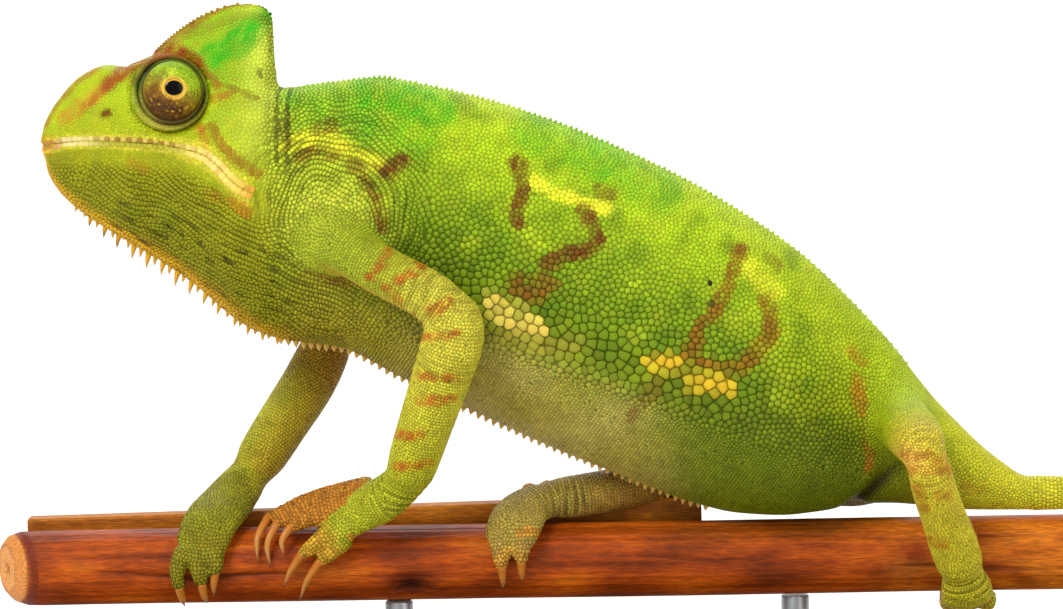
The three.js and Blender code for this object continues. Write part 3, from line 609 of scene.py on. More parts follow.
def middle_lines():
    """Samples of every middle line: place, tangent, radius, part number and distance along the limb in
    mm."""
    rows = []
    distance = np.linspace(0, TAIL_LENGTH, 160)
    centre, tangent, _, radius = tail_line(distance)
    rows.append(np.column_stack([centre, tangent, radius, np.full(len(centre), TAIL), distance]))
    for name, knots in LIMBS.items():
        share = np.linspace(0, 1, 30)
        centre, tangent = line_through(knots, share)
        size = curve_through(list(zip(np.linspace(0, 1, len(knots)), [k[3] for k in knots])))(share)
        run = LIMB_START[name.split("_", 1)[1]] + lengths_along(centre)
        part = np.full(len(run), PART_NAMES.index(name))
        rows.append(np.column_stack([centre, tangent, size, part, run]))
    for name, toes in TOES.items():
        for number, toe in enumerate(toes):
            share = np.linspace(0, 1, 12)
            centre, tangent = line_through(toe[:3], share)
            size = np.interp(np.linspace(0, 2, len(share)), (0, 1, 2), TOE_RADII)
            run = TOES_FROM + TOE_STRETCH * number + lengths_along(centre)
            part = np.full(len(run), PART_NAMES.index(name))
            rows.append(np.column_stack([centre, tangent, size, part, run]))
    return np.concatenate(rows)


LINES = middle_lines()


def where_on(points):
    """For points on the hide: part number, distance along it, angle round it, and height's share in the
    body."""
    x, y, z = points.T
    top, bottom = back(x), belly(x)
    level = bottom + widest(x) * (top - bottom)
    above = z > level
    upright = (z - level) / np.where(above, top - level, level - bottom)
    sideways = (np.abs(y) / half_width(x)) ** (1 / np.where(above, roof(x), keel(x)))
    body_ratio = np.hypot(upright, sideways)
    nearest, index = np.full(len(points), np.inf), np.zeros(len(points), int)
    for block in np.array_split(np.arange(len(points)), max(1, len(points) // 4000)):
        off = np.linalg.norm(points[block, None] - LINES[None, :, :3], axis=2) / LINES[:, 6]
        index[block] = off.argmin(1)
        nearest[block] = off.min(1)
    hit = LINES[index]
    on_casque = (z > top - 1) & (x < -74) & (x > -102)
    on_body = ((body_ratio < 1.05) & (x < 62)) | on_casque | ((nearest > 1.5) & (z > bottom - 4))
    part = np.where(on_body, BODY, hit[:, 7]).astype(int)
    along = np.where(on_body, x, hit[:, 8] + np.sum((points - hit[:, :3]) * hit[:, 3:6], axis=1))
    off = points - hit[:, :3]
    side = np.cross(hit[:, 3:6], np.where(np.abs(hit[:, 5:6]) > 0.9, (1, 0, 0), (0, 0, 1)))
    side = unit(side)
    over = np.cross(side, hit[:, 3:6])
    around = np.arctan2(np.sum(off * side, 1), np.sum(off * over, 1))
    around = np.where(on_body, np.arctan2(y / half_width(x), upright), around)
    share = np.clip((z - bottom) / (top - bottom), -0.1, 1.3)
    return part, along, around, share


# Where the belly ends in front of the thigh: a groove, with a painted shadow along it.
GROIN_FOLD = [(27.5, 8.5), (30.5, 12), (33.5, 15.5), (36.5, 18.5)]


# Rings of creases round the limbs: distance along the limb, reach, wave length and depth, in mm.
LIMB_CREASES = [(28, 6, 1.9, 0.12), (72, 5, 1.5, 0.2), (78, 4, 1.5, 0.12), (43, 2, 1.7, 0.12)]


def furrow(phase, sharpness):
    """A row of narrow valleys: minus the cosine, raised to lie from 0 to 1, to the power of the
    sharpness."""
    return -((0.5 + 0.5 * np.cos(phase)) ** sharpness)


def folds(points, part, along):
    """Height of the hide's wrinkles in mm: furrows with wandering phases that fade with distance. They are
    arcs round the shoulder, slanting pleats on the throat, creases down the neck, and rings at elbows,
    wrists, knees and ankles."""
    x, y, z = points.T
    body = part == BODY
    hub = np.hypot(x - SHOULDER_HUB[0], z - SHOULDER_HUB[1])
    neck = body * step(x, -85, -79) * (1 - step(x, -56, -46)) * step(z, 44, 52)
    round_hub = 2 * math.pi * hub / 2.3 + 3.0 * ripple(points, 13, 5) + 1.1 * ripple(points, 4, 15)
    broken = np.clip(0.6 + 0.8 * ripple(points, 7, 16), 0, 1)
    above = step(z - SHOULDER_HUB[1] + 0.3 * (x - SHOULDER_HUB[0]), -7, 0)
    high = 0.24 * neck * above * broken * furrow(round_hub, 3) * bell(hub - 12, 6.5)
    throat = body * step(-x, 62, 74) * (1 - step(z - mouth(x), -11, -6)) * step(x, -113, -104)
    throat *= np.maximum(step(hub, 12, 16), step(hub, 7, 10) * (1 - above))
    pleat = x * math.sin(THROAT_SLOPE) + z * math.cos(THROAT_SLOPE)
    deepest = bell(z - mouth(x) + 16, 7) * 0.7 + 0.3
    slanting = 2 * math.pi * pleat / 2.3 + 2.0 * ripple(points, 20, 6) + 1.3 * ripple(points, 5, 17)
    dashed = np.clip(0.45 + 1.1 * ripple(points, 3.2, 19), 0, 1)
    high += 0.36 * throat * deepest * dashed * furrow(slanting, 4)
    nape = body * bell(x + 75.2, 2.2) * step(z, 72, 78)
    high += 0.3 * nape * furrow(2 * math.pi * x / 1.9 + 2.2 * ripple(points, 9, 18), 2)
    limb = (part > TAIL) & (along < TOES_FROM)
    for near, reach, wave, deep in LIMB_CREASES:
        ringing = 2 * math.pi * along / wave + 2.2 * ripple(points, 9, 8)
        high += deep * (1 - 0.6 * (y > 0)) * limb * bell(along - near, reach) * furrow(ringing, 2)
    return high


def relief(points, part, along):
    """How far the hide stands out or in, in mm, by the sum of its ridges, grooves and folds."""
    x, y, z = points.T
    body = (part == BODY).astype(float)
    head = body * step(-x, 76, 80)
    flat_side = step(np.abs(y), 1.0, 3.0)
    rise = np.zeros(len(points))
    canthal, run = line_distance(x, z, CANTHAL_RIDGE)
    brow, _ = line_distance(x, z, BROW_RIDGE)
    casque, _ = line_distance(x, z, CASQUE_RIDGE)
    rise += 0.5 * head * flat_side * bell(canthal, 1.1) * (1 - 0.5 * run)
    rise += 0.5 * head * flat_side * bell(brow, 1.2)
    rise += 0.3 * head * bell(casque, 0.9)
    rise -= 0.45 * head * flat_side * bell(np.hypot((x + 108.5) / 1.6, z - 90.6 + 0.75 * (x + 108.5)), 1.6)
    rise -= 0.5 * head * flat_side * bell(np.hypot((x + 83) / 5, (z - 95.5) / 3.2), 1)
    nostril = np.hypot(x - NOSTRIL[0], z - NOSTRIL[1])
    rise -= 0.7 * head * bell(nostril, 0.75)
    rise += 0.35 * head * flat_side * bell(nostril - 1.5, 0.7)
    seam = (z - mouth(x)) * np.where(x > -95, 0.78, 1)
    lips = head * step(-x, 80.6, 82)
    rise -= 0.3 * lips * bell(seam, 0.3)
    rise += 0.2 * lips * bell(np.abs(seam) - 0.9, 0.7)
    jaw_hinge, _ = line_distance(x, z, JAW_HINGE_FOLD)
    groin, _ = line_distance(x, z, GROIN_FOLD)
    rise -= 0.5 * body * bell(jaw_hinge, 1.5)
    rise -= 1.3 * body * bell(groin, 1.3)
    rise += folds(points, part, along)
    rise += 0.16 * body * (1 - head) * ripple(points, 26, 9)
    return rise


def socket(points, part):
    """Sinks the hide inside each eye's rim to a shallow bowl, and raises a fold round it."""
    x, y, z = points.T
    off = np.hypot(x - EYE["x"], z - EYE["z"])
    beside = (part == BODY) & (np.abs(y) > 1.5)
    floor_y = 3.2 + 5.5 * step(off, SOCKET_RADIUS - 0.8, SOCKET_RADIUS + 0.5)
    sunk = np.where(beside & (off < SOCKET_RADIUS + 0.5), np.minimum(np.abs(y), floor_y), np.abs(y))
    fold = 0.45 * bell(off - SOCKET_RADIUS - 1.1, 0.7) * beside
    return np.stack([x, np.sign(y) * (sunk + fold), z], -1)


part, along, around, share = where_on(skin_points)
normals = corner_normals(skin_points, skin_quads)
skin_points = skin_points + normals * relief(skin_points, part, along)[:, None]
skin_points = socket(skin_points, part)
skin_points = smoothed(skin_points, skin_edges, 1, 0.3)
normals = corner_normals(skin_points, skin_quads)

# Markings: colour, half width in mm, strength and line in the side plane, as (x, z). Both flanks carry
# them.
EMERALD = "#2cae14"
PALE_YELLOW = "#f4f040"
WARM_BROWN = "#713f06"
ORANGE_BROWN = "#b85e14"
REDDISH_BROWN = "#80400c"
FLANK_MARKS = [
    (EMERALD, 2.3, 0.85, [(-87.5, 95.5), (-84, 97.6), (-81, 100.2), (-78.8, 102.2)]),
    (EMERALD, 4.6, 0.5, [(-71, 87), (-67, 85.5), (-62, 84.5)]),
    (EMERALD, 2.8, 0.65, [(-60, 89), (-53.5, 87.5), (-49.5, 86.5), (-46, 85)]),
    (EMERALD, 3.2, 0.4, [(-58, 80), (-54, 82), (-50, 81)]),
    (EMERALD, 4.2, 0.42, [(-29, 81.5), (-22, 78), (-18, 75.5)]),
    (EMERALD, 3.6, 0.36, [(-15.5, 75), (-10, 71.5), (-6, 69.5)]),
    (PALE_YELLOW, 1.7, 0.75, [(-75, 79.5), (-71, 80.8), (-66.5, 80.5), (-62, 78), (-57.5, 76)]),
    (REDDISH_BROWN, 1.1, 0.7, [(-72.8, 77), (-69.4, 78.2), (-66, 77.6)]),
    (REDDISH_BROWN, 1.0, 0.7, [(-62.6, 76), (-59.8, 73), (-58, 69), (-57.4, 64.6)]),
    (REDDISH_BROWN, 1.2, 0.5, [(-72.6, 64), (-71.4, 62)]),
    (REDDISH_BROWN, 1.6, 0.4, [(-68.6, 57.4), (-65, 55.6)]),
    (WARM_BROWN, 1.3, 0.6, [(-69.5, 82.4), (-66, 82.8)]),
    (WARM_BROWN, 1.0, 0.45, [(-74.6, 84.5), (-74.6, 80.5)]),
    (WARM_BROWN, 1.7, 0.9, [(-55.8, 74.6), (-53.5, 76.4)]),
    (WARM_BROWN, 1.2, 0.7, [(-18, 70.5), (-15.5, 69.5)]),
    (WARM_BROWN, 1.0, 0.5, [(13, 57), (15, 55.5)]),
    (WARM_BROWN, 1.45, 0.9, [(-32, 75.5), (-32, 71), (-32.5, 66)]),
    (PALE_YELLOW, 1.15, 0.95, [(-29.5, 72.2), (-25, 70), (-20.5, 68.6), (-16.5, 67)]),
    (WARM_BROWN, 1.5, 0.9, [(-20.5, 67), (-19, 64.5), (-18.5, 62), (-20.5, 60), (-24, 59), (-27, 58)]),
    (REDDISH_BROWN, 2.3, 0.75, [(-32.5, 54.0), (-29.5, 52.8), (-28, 54)]),
    ("#ecd070", 2.3, 0.95, [(-37, 50.2), (-33.5, 48), (-30, 46)]),
    ("#a3963c", 2.0, 0.6, [(-35, 44.6), (-29, 42.4), (-22, 43)]),
    ("#e0b82e", 1.7, 0.95, [(-8.6, 39.4), (-4.6, 39.2)]),
    ("#e0b82e", 1.8, 0.95, [(-1.2, 36.4), (4.8, 34.8)]),
    ("#8c5606", 1.35, 0.85, [(8, 58.5), (6, 55), (4.5, 50.5), (1, 46.5), (-1, 43.5), (-2, 40.8), (1, 39.4),
                             (6.5, 38.4), (10.5, 41), (13, 44), (13.5, 47.5), (12.5, 50)]),
    (PALE_YELLOW, 1.8, 0.5, [(9.5, 55.5), (11.5, 53.5), (14, 51.5)]),
    (ORANGE_BROWN, 1.3, 0.6, [(29, 34.5), (30, 29.5)]),
    (ORANGE_BROWN, 0.9, 0.5, [(31, 26.5), (31, 22), (31, 18)]),
    (ORANGE_BROWN, 0.9, 0.5, [(36, 32), (37, 27.5), (38.5, 23)]),
    (ORANGE_BROWN, 1.2, 0.45, [(28.5, 39.5), (30, 38)]),
    (WARM_BROWN, 1.2, 0.5, [(-8, 36), (-10, 32), (-12.5, 29)]),
    ("#1d1408", 0.5, 0.9, [(1.3, 53.7), (1.9, 53.2)]),
    ("#1d1408", 0.45, 0.9, [(2.5, 50.2), (2.7, 49.8)]),
    (ORANGE_BROWN, 0.9, 0.3, [(49.5, 14), (51, 12.5), (52.5, 12.5)]),
]
HEAD_MARKS = [
    ("#bc7428", 1.4, 0.55, [(-115.5, 84.4), (-110.4, 88), (-106.7, 90.8)]),
    ("#a8501a", 0.8, 0.6, [(-111.4, 87.2), (-107.4, 90.2)]),
    ("#a8601e", 0.8, 0.6, [(-109, 93.6), (-113, 91.2), (-116.5, 87.6), (-119.2, 83.4)]),
    ("#9c4412", 1.35, 0.9, [(-106.9, 90.8), (-103.7, 93.3), (-100.8, 95.4), (-97.5, 96.8), (-94.8, 96.8),
                            (-92.4, 95.8), (-90.8, 94.4)]),
    ("#9c5818", 0.7, 0.7, [(-90.8, 94.4), (-88.8, 92.4), (-86.6, 90.4)]),
    ("#7c5c18", 0.6, 0.6, [(-85.2, 90.4), (-80.2, 87.9)]),
    ("#a8541a", 0.8, 0.65, [(-87.6, 88.2), (-84.6, 88.8)]),
    ("#4a3c14", 0.35, 0.8, [(-79.8, 92.6), (-79.3, 91.6)]),
    ("#4a3c14", 0.45, 0.7, [(-76.2, 87.3), (-75.4, 86.8)]),
    ("#b07a18", 1.2, 0.4, [(-102.8, 76.2), (-100.5, 75.4)]),
    ("#b06a1c", 1.1, 0.4, [(-89, 70.8), (-86.4, 69.8)]),
    ("#a05c18", 1.0, 0.8, [(-98, 97.5), (-92, 101), (-87.5, 104), (-84, 105.4), (-80, 105.4)]),
    ("#86851c", 0.8, 0.45, CASQUE_RIDGE),
    (ORANGE_BROWN, 0.9, 0.65, [(-90, 83), (-89.5, 80.5), (-89.5, 78.5)]),
    ("#94590f", 1.0, 0.75, [(-88, 83), (-86.5, 80), (-83.5, 77), (-80, 74.5)]),
    ("#7a4410", 0.75, 0.9, [(-107.9, 85.2), (-107.2, 85.6)]),
    (ORANGE_BROWN, 1.3, 0.6, [(-84, 69.5), (-82, 67.5)]),
    ("#bc6c24", 1.9, 0.75, [(-121, 79.5), (-118.8, 79.5)]),
]
# Orange bars across the left limbs, as lines in the side plane.
LIMB_BARS = [
    [(-59.4, 56.4), (-56.4, 60.6)], [(-54.4, 56.0), (-49.4, 59.2)], [(-56.4, 54.6), (-54.4, 52.6)],
    [(-48.6, 50.6), (-45.4, 52.4)], [(-50.2, 45.6), (-44, 46.6)], [(-50.6, 38.4), (-44.2, 38.8)],
    [(-51, 34), (-45, 34.4)], [(-55.4, 27), (-50.8, 27.6)], [(-55, 21), (-49.4, 22)],
    [(36.2, 24.4), (39.6, 25.4), (43.3, 23.2)], [(36.4, 21.8), (41, 22.8), (43.7, 21.6)],
    [(37.8, 18.8), (39.4, 14.6)], [(41.4, 17.4), (43.8, 17.2)], [(41, 7.6), (43.8, 6)],
]
BODY_STOPS = {
    "front": ((0.0, "#94861c"), (0.16, "#9a9428"), (0.3, "#808a14"), (0.42, "#667c08"), (0.55, "#74900c"),
              (0.72, "#98b418"), (0.86, "#aeca20"), (1.1, "#bcd42c")),
    "rear": ((0.0, "#666804"), (0.2, "#787c06"), (0.4, "#8c9808"), (0.6, "#9aac0e"), (0.8, "#a8bc16"),
             (1.1, "#b2c620")),
    "head": ((0.0, "#a87c08"), (0.12, "#868606"), (0.4, "#929208"), (0.62, "#a8b016"), (0.8, "#b0c01c"),
             (1.1, "#a8ba18")),
}


# Base colours by distance in mm: along a limb from its root, and along the tail.
LIMB_STOPS = ((0, "#aeb838"), (14, "#9aa628"), (22, "#b0b034"), (30, "#d0c450"), (46, "#ccc242"),
              (70, "#b6b82c"), (90, "#a8aa28"))
TAIL_STOPS = ((0, "#d0c838"), (30, "#ccc036"), (140, "#aca422"))


def stops(table, value):
    """Colour by value between named stops, in linear light."""
    places = [place for place, _ in table]
    colours = np.array([linear(colour) for _, colour in table])
    return np.stack([np.interp(value, places, colours[:, k]) for k in range(3)], -1)


def one_colour(hex_colour, number):
    """The same linear colour for each of a number of points."""
    return np.tile(linear(hex_colour), (number, 1))


def blend_in(base, *layers):
    """Mixes colours into an array of colours, one after another: each layer is a colour and its amount at
    each."""
    for colour, amount in layers:
        base = base + (linear(colour) - base) * np.clip(amount, 0, 1)[:, None]
    return base


# The greens and browns are warm: this share of the blue is left in them all.
BLUE_KEPT = 0.6


def markings_and_painted_shade(points, normal, part, along, share):
    """Colour of the animal at each point in linear light: base by height and region, then each named
    mark. Some of it is painted light: shade in the folds, a shadow in the groin, partly shade on the far
    limbs, light on the near upper arm's underside and partly a highlight on the near knee."""
    x, y, z = points.T
    wander = np.stack([ripple(points, 7, 21), ripple(points, 7, 22)]) * 0.55
    fine = np.stack([ripple(points, 2.2, 23), ripple(points, 2.2, 24)]) * 0.25
    mx, mz = x + wander[0] + fine[0], z + wander[1] + fine[1]
    body = part == BODY
    front, rear, head = (stops(BODY_STOPS[key], share + 0.04 * ripple(points, 18, 31))
                         for key in ("front", "rear", "head"))
    to_rear = step(x, 2, 26)[:, None]
    to_head = step(-x, 70, 80)[:, None]
    colour = front * (1 - to_rear) + rear * to_rear
    colour = colour * (1 - to_head) + head * to_head
    neck = body * step(x, -82, -74) * (1 - step(x, -62, -50))
    pale = body * step(x, -60, -44) * (1 - step(x, -10, 6)) * (1 - step(share, 0.2, 0.36))
    patchy = ripple(points, 8, 34) * step(x, -74, -56) * (1 - step(x, 20, 40)) * step(share, 0.3, 0.45)
    casque = body * step(-x, 76, 79) * (1 - step(-x, 92, 98)) * step(z, 86, 93)
    rear_belly = body * step(x, -16, 2) * (1 - step(x, 28, 38)) * (1 - step(share, 0.34, 0.52))
    groin, _ = line_distance(x, z, GROIN_FOLD)
    snout = body * step(-x, 80, 86) * step(z - mouth(x), 2, 5)
    colour = blend_in(
        colour,
        ("#c0c840", 0.55 * neck * step(share, 0.3, 0.6)),
        ("#d6da54", 0.85 * body * bell(np.hypot(x + 67.5, z - 64.5), 7.5)),
        ("#a87c2c", 0.5 * body * bell(np.hypot((x + 66) / 5, (z - 55.5) / 2.6), 1)),
        ("#bcac70", 0.85 * pale * np.clip(0.75 + 0.4 * ripple(points, 15, 33), 0, 1)),
        ("#4a7404", 0.42 * body * step(patchy, 0.1, 0.9)),
        ("#b4c428", 0.45 * body * step(-patchy, 0.15, 0.9)),
        ("#8cb41c", 0.7 * casque),
        ("#bccc4c", 0.7 * casque * step(x, -86, -80)),
        ("#cfdc5c", 0.75 * body * step(z, 78, 88) * bell(x + 78.5, 2.6)),
        ("#5e7006", 0.75 * rear_belly),
        ("#d0c838", 0.9 * body * step(x, 36, 56)),
        # A painted shadow under the belly's rear edge, along the groin fold.
        ("#2c1e06", 0.9 * body * bell(groin, 1.5) * (1 - step(z, 14, 21))),
        ("#8cae20", 0.55 * snout * step(ripple(points, 6, 35), 0.1, 0.9)),
        ("#b8862c", 0.45 * snout * step(ripple(points, 2.6, 36), 0.45, 1.1)),
        ("#b9c348", 0.7 * body * bell(np.hypot((x + 80) / 5, (z - 82) / 7), 1)),
    )
    broken = np.clip(0.85 + 0.3 * ripple(points, 4, 40) + 0.25 * ripple(points, 1.8, 41), 0.2, 1.1)
    for hue, wide, strength, line in FLANK_MARKS:
        off, _ = line_distance(mx, mz, line)
        edge = step(off, wide * 0.6, wide * 1.5)
        colour = blend_in(colour, (hue, body * strength * (1 - edge) * broken))
    speckled = np.clip(0.9 + 0.3 * ripple(points, 2.0, 42), 0.4, 1.1)
    for hue, wide, strength, line in HEAD_MARKS:
        off, _ = line_distance(mx * 0.4 + x * 0.6, mz * 0.4 + z * 0.6, line)
        edge = step(off, wide * 0.5, wide * 1.4)
        colour = blend_in(colour, (hue, body * step(-x, 76, 78) * strength * speckled * (1 - edge)))
    seam = (z - mouth(x)) * np.where(x > -95, 0.78, 1)
    lips = body * step(-x, 80.4, 82)
    pale_lip = 1.0 + 0.7 * step(x, -97, -88)
    lip_edge = step(np.abs(seam), pale_lip, pale_lip + 0.7)
    colour = blend_in(
        colour,
        ("#dccb4c", 0.65 * lips * (1 - lip_edge)),
        ("#e2ac10", 0.85 * body * step(-x, 74, 82) * (1 - step(z - belly(x), 1.2, 4.2))),
        ("#c99a10", 0.9 * body * bell(np.abs(y), 1.6) * step(-x, 70, 78) * (share < 0.3)),
    )
    # Limbs: lime above and tan below, warmer towards the feet, with orange bars across.
    limb = part > TAIL
    far = np.isin(part, parts("right"))
    inner = np.isin(part, parts("inner"))
    thigh = np.isin(part, parts("thigh"))
    leg = far & (x > -48)
    arm = far & ~leg
    run = np.where(limb, along, 0)
    inward = -(normal[:, 2] * 0.66 + normal[:, 1] * np.sign(y) * 0.75)
    tone = stops(LIMB_STOPS, run)
    tone = np.where((run >= TOES_FROM)[:, None], linear(LIMB_STOPS[-1][1]), tone)
    tone = blend_in(
        tone,
        ("#cc9434", 0.7 * step(inward, -0.1, 0.7)),
        # The near upper arm's underside is paler tan where it faces down: its own tan, lifted by painted
        # light in its shade.
        ("#e8b048", 0.5 * ~far * (x < -40) * (1 - step(run, 34, 50)) * step(inward, 0, 0.6)),
        ("#e2c83c", 0.5 * ~far * (x > 28) * (1 - step(run, 76, 88))),
        # A pale cream-orange patch on the near knee: partly its own colour, partly a painted highlight on
        # the knee's top.
        ("#f0b868", 0.8 * (y < -20) * bell(np.hypot(x - 36.4, z - 24), 2.6)),
    )
    uneven = np.clip(0.75 + 0.6 * ripple(points, 2.4, 47), 0, 1)
    for line in LIMB_BARS:
        off, _ = line_distance(x + 0.7 * wander[0], z + 0.7 * wander[1], line)
        strength = (0.85 - 0.25 * (x > 0)) * uneven * (y < 0)
        tone = blend_in(tone, ("#bc5c14", strength * (1 - step(off, 0.4, 1.4))))
    bars = np.cos(2 * math.pi * (run + 1.2 * ripple(points, 6, 44)) / 8.3) + 0.9 * ripple(points, 9, 45)
    tone = blend_in(tone, ("#b8661c", 0.4 * far * (run < 70) * step(bars, 0.95, 1.4)))
    toe_tone = blend_in(
        one_colour("#c89c34", len(points)),
        ("#bc7a2a", inner),
        # The far hand's toes are darker olive, partly their own colour and partly painted shade.
        ("#8c7c18", 0.7 * arm),
        ("#e4a850", 0.7 * leg),
        ("#86500f", 0.45 * step(np.cos(2 * math.pi * run / 2.2), 0.5, 0.95)),
    )
    on_toe = limb & (run >= TOES_FROM)
    toe_run = (run - TOES_FROM) % TOE_STRETCH
    tone = tone + (toe_tone - tone) * (on_toe * step(toe_run + 2 * inner, 0, 4))[:, None]
    taken_over = np.where(thigh, step(run, 12, 30), step(run, -3, 5))
    colour = colour + (tone - colour) * (limb * taken_over)[:, None]
    # The far limbs are browner and darker: partly their own colour, partly painted shade, as they lie on the
    # shaded far side.
    colour = blend_in(
        colour,
        ("#a88c50", 0.85 * leg * (1 - on_toe * step(toe_run, 1, 5))),
        ("#8c5c1c", 0.65 * leg * (1 - thigh) * (1 - step(run, 62, 76))),
        ("#8a861a", 0.5 * arm),
        ("#98601a", 0.75 * arm * (1 - step(run, 34, 52))),
        ("#7c7818", 0.6 * arm * step(run, 64, 76)),
    )
    tail = part == TAIL
    colour = np.where(tail[:, None], stops(TAIL_STOPS, along), colour)
    rings = np.cos(2 * math.pi * (along + ripple(points, 9, 46)) / 11)
    colour = blend_in(colour, ("#84800e", 0.5 * tail * step(rings, 0.35, 0.8) * step(along, 8, 40)))
    # Painted shade in the wrinkles: the deeper the fold, the darker.
    colour = colour * (1 - 0.7 * np.clip(-folds(points, part, along) / 0.26, 0, 1))[:, None]
    return colour * (1 + 0.1 * ripple(points, 5, 50)[:, None]) * (1.0, 1.0, BLUE_KEPT)


def give_colour(obj, name, colours):
    """Stores one linear colour for each point of a mesh."""
    layer = obj.data.color_attributes.new(name, "FLOAT_COLOR", "POINT")
    with_alpha = np.column_stack([colours, np.ones(len(colours))])
    layer.data.foreach_set("color", with_alpha.astype(np.float32).ravel())


skin = mesh_object("skin", skin_points, skin_quads)
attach(skin, "root")
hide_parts("head", "lower_jaw", "neck", "trunk", "tail_base", "tail_middle", "tail_tip", *LIMBS,
            *[f"{name}_toes" for name in TOES])
# Between the scales the hide is darkened with painted shade, standing for the shadow in the grooves, and
# less so on the head, where the scales are flat and close.
skin_x, _, skin_z = skin_points.T
upper_head = (part == BODY) * step(-skin_x, 76, 80) * (skin_z > mouth(skin_x) - 5)
shade_between_scales = 0.46 + 0.38 * upper_head
give_colour(skin, "tint", markings_and_painted_shade(skin_points, normals, part, along, share) * shade_between_scales[:, None])
# Reptile hide: dull between the scales, with creases 0.3 mm apart that break up any shine.
hide, out, tint, place = painted_material("chameleon_hide")
CREASE_MM = 0.3
crease = add_node(hide, "ShaderNodeTexVoronoi", {"Vector": (place, "Object")}, Scale=1 / (CREASE_MM * MM))
bump = add_node(hide, "ShaderNodeBump", {"Height": (crease, "Distance")}, Strength=0.3, Distance=0.00006)
hide_shader = add_node(hide, "ShaderNodeBsdfPrincipled",
                       {"Base Color": (tint, "Color"), "Normal": (bump, "Normal")},
                       Roughness=0.6, Specular_IOR_Level=0.1)
hide.node_tree.links.new(hide_shader.outputs[0], out.inputs[0])
skin.data.materials.append(hide)

# ---- Scales ----
# Horny granules and plates over the whole hide, parted by narrow grooves: small beads on the back and
# limbs, large flat plates low on the flank, and fine slanting rows below them. Each is a low dome on its
# own root.
SHOULDER_ROW = 0.86
THROAT_ROW = 0.8
# Rows on the shoulder and throat stand this much further apart than their scales do.
WIDE_ROWS = 1.2


def scale_size(points, part, along, share):
    """Spacing of the scales in mm by region."""
    x, _, z = points.T
    band, _ = line_distance(x, z, [(-46, 51), (-36, 47.6), (-24, 43), (-10, 38), (4, 34)])
    size = 0.86 + 0.42 * bell(share - 0.5, 0.19) * step(x, -60, -48) * (1 - step(x, 14, 34))
    size -= 0.06 * step(share, 0.75, 0.95) + 0.12 * step(x, 26, 44)
    size += 1.0 * bell(band, 5.0)
    edge = z - np.interp(x, (-60, -44, -30, -14, 4, 30), (43, 42.5, 39, 33, 26, 16))
    size = np.where(x > -72, size + (0.66 - size) * step(-edge, -1, 1.2), size)
    hub = np.hypot(x - SHOULDER_HUB[0], z - SHOULDER_HUB[1])
    size = size + (SHOULDER_ROW - size) * (hub < 21) * (x < -50)
    head = step(-x, 76, 80)
    on_head = 0.66 + 0.26 * bell(np.hypot((x + 81) / 6, (z - 85) / 12), 1)
    on_head = np.where(z < mouth(x) - 3, THROAT_ROW, on_head)
    size = size * (1 - head) + on_head * head
    limb = part > TAIL
    on_limb = 0.66 + 0.16 * (1 - step(along, 0, 12)) * (x < -40) + 0.1 * step(along, 86, 90)
    size = np.where(limb, on_limb, size)
    tail = 0.8 - 0.3 * np.clip(along / TAIL_LENGTH, 0, 1)
    return np.where(part == TAIL, tail, size)


def rows(points):
    """The rows that scales grow in: a value in mm that rises from row to row, the way it rises, and how
    strictly the scales keep to it. They are rings round limbs, toes and tail, arcs round the shoulder, and
    slanting rows on throat and belly."""
    part, along, _, share = where_on(points)
    x, _, z = points.T
    index = np.zeros(len(points), int)
    limbs = np.flatnonzero(part > BODY)
    for block in np.array_split(limbs, max(1, len(limbs) // 4000)):
        off = np.linalg.norm(points[block, None] - LINES[None, :, :3], axis=2) / LINES[:, 6]
        index[block] = off.argmin(1)
    way = np.where((part > BODY)[:, None], LINES[index, 3:6], (0.0, 0.0, 1.0))
    value = along.copy()
    thigh = np.isin(part, parts("thigh"))
    strength = np.where(part > BODY, np.where(thigh, 0.1, 0.5), 0.0)
    body = part == BODY
    hub_x, hub_z = x - SHOULDER_HUB[0], z - SHOULDER_HUB[1]
    hub = np.maximum(1e-6, np.hypot(hub_x, hub_z))
    nought = np.zeros_like(x)
    above = hub_z + 0.3 * hub_x > -5
    near_hub = (body | (part > TAIL) & (along < 8)) & above & (hub < 21) & (x > -84) & (x < -48)
    throat = body & ~near_hub & (x > -114) & (x < -62) & (z < mouth(x) - 4)
    low = body & ~near_hub & (x > -62) & (share < 0.36)
    for here, field, grade in (
        (near_hub, hub + 1.5 * ripple(points, 12, 61), np.stack([hub_x / hub, nought, hub_z / hub], -1)),
        (throat, x * math.sin(THROAT_SLOPE) + z * math.cos(THROAT_SLOPE) + 1.3 * ripple(points, 14, 62),
         np.broadcast_to([math.sin(THROAT_SLOPE), 0, math.cos(THROAT_SLOPE)], points.shape)),
        (low, x * math.sin(BELLY_SLOPE) - z * math.cos(BELLY_SLOPE),
         np.broadcast_to([math.sin(BELLY_SLOPE), 0, -math.cos(BELLY_SLOPE)], points.shape)),
    ):
        value = np.where(here, field, value)
        way = np.where(here[:, None], grade, way)
        strength = np.where(here, 0.5 + 0.12 * ~low * (hub > 7), strength)
    return value, way, strength


SCALE_SEED = 7
chance = np.random.default_rng(SCALE_SEED)
face_points = skin_points[skin_quads]
face_middle = face_points.mean(1)
face_across = np.cross(face_points[:, 2] - face_points[:, 0], face_points[:, 3] - face_points[:, 1])
face_area = np.linalg.norm(face_across, axis=1) / 2
face_place = where_on(face_middle)
face_size = scale_size(face_middle, *face_place[:2], face_place[3])
wanted = face_area / (0.866 * face_size ** 2)
eye_off = np.hypot(face_middle[:, 0] - EYE["x"], face_middle[:, 2] - EYE["z"])
wanted *= ~((eye_off < SOCKET_RADIUS) & (face_place[0] == 0) & (np.abs(face_middle[:, 1]) > 1))
LIP_CLEAR = 1.05
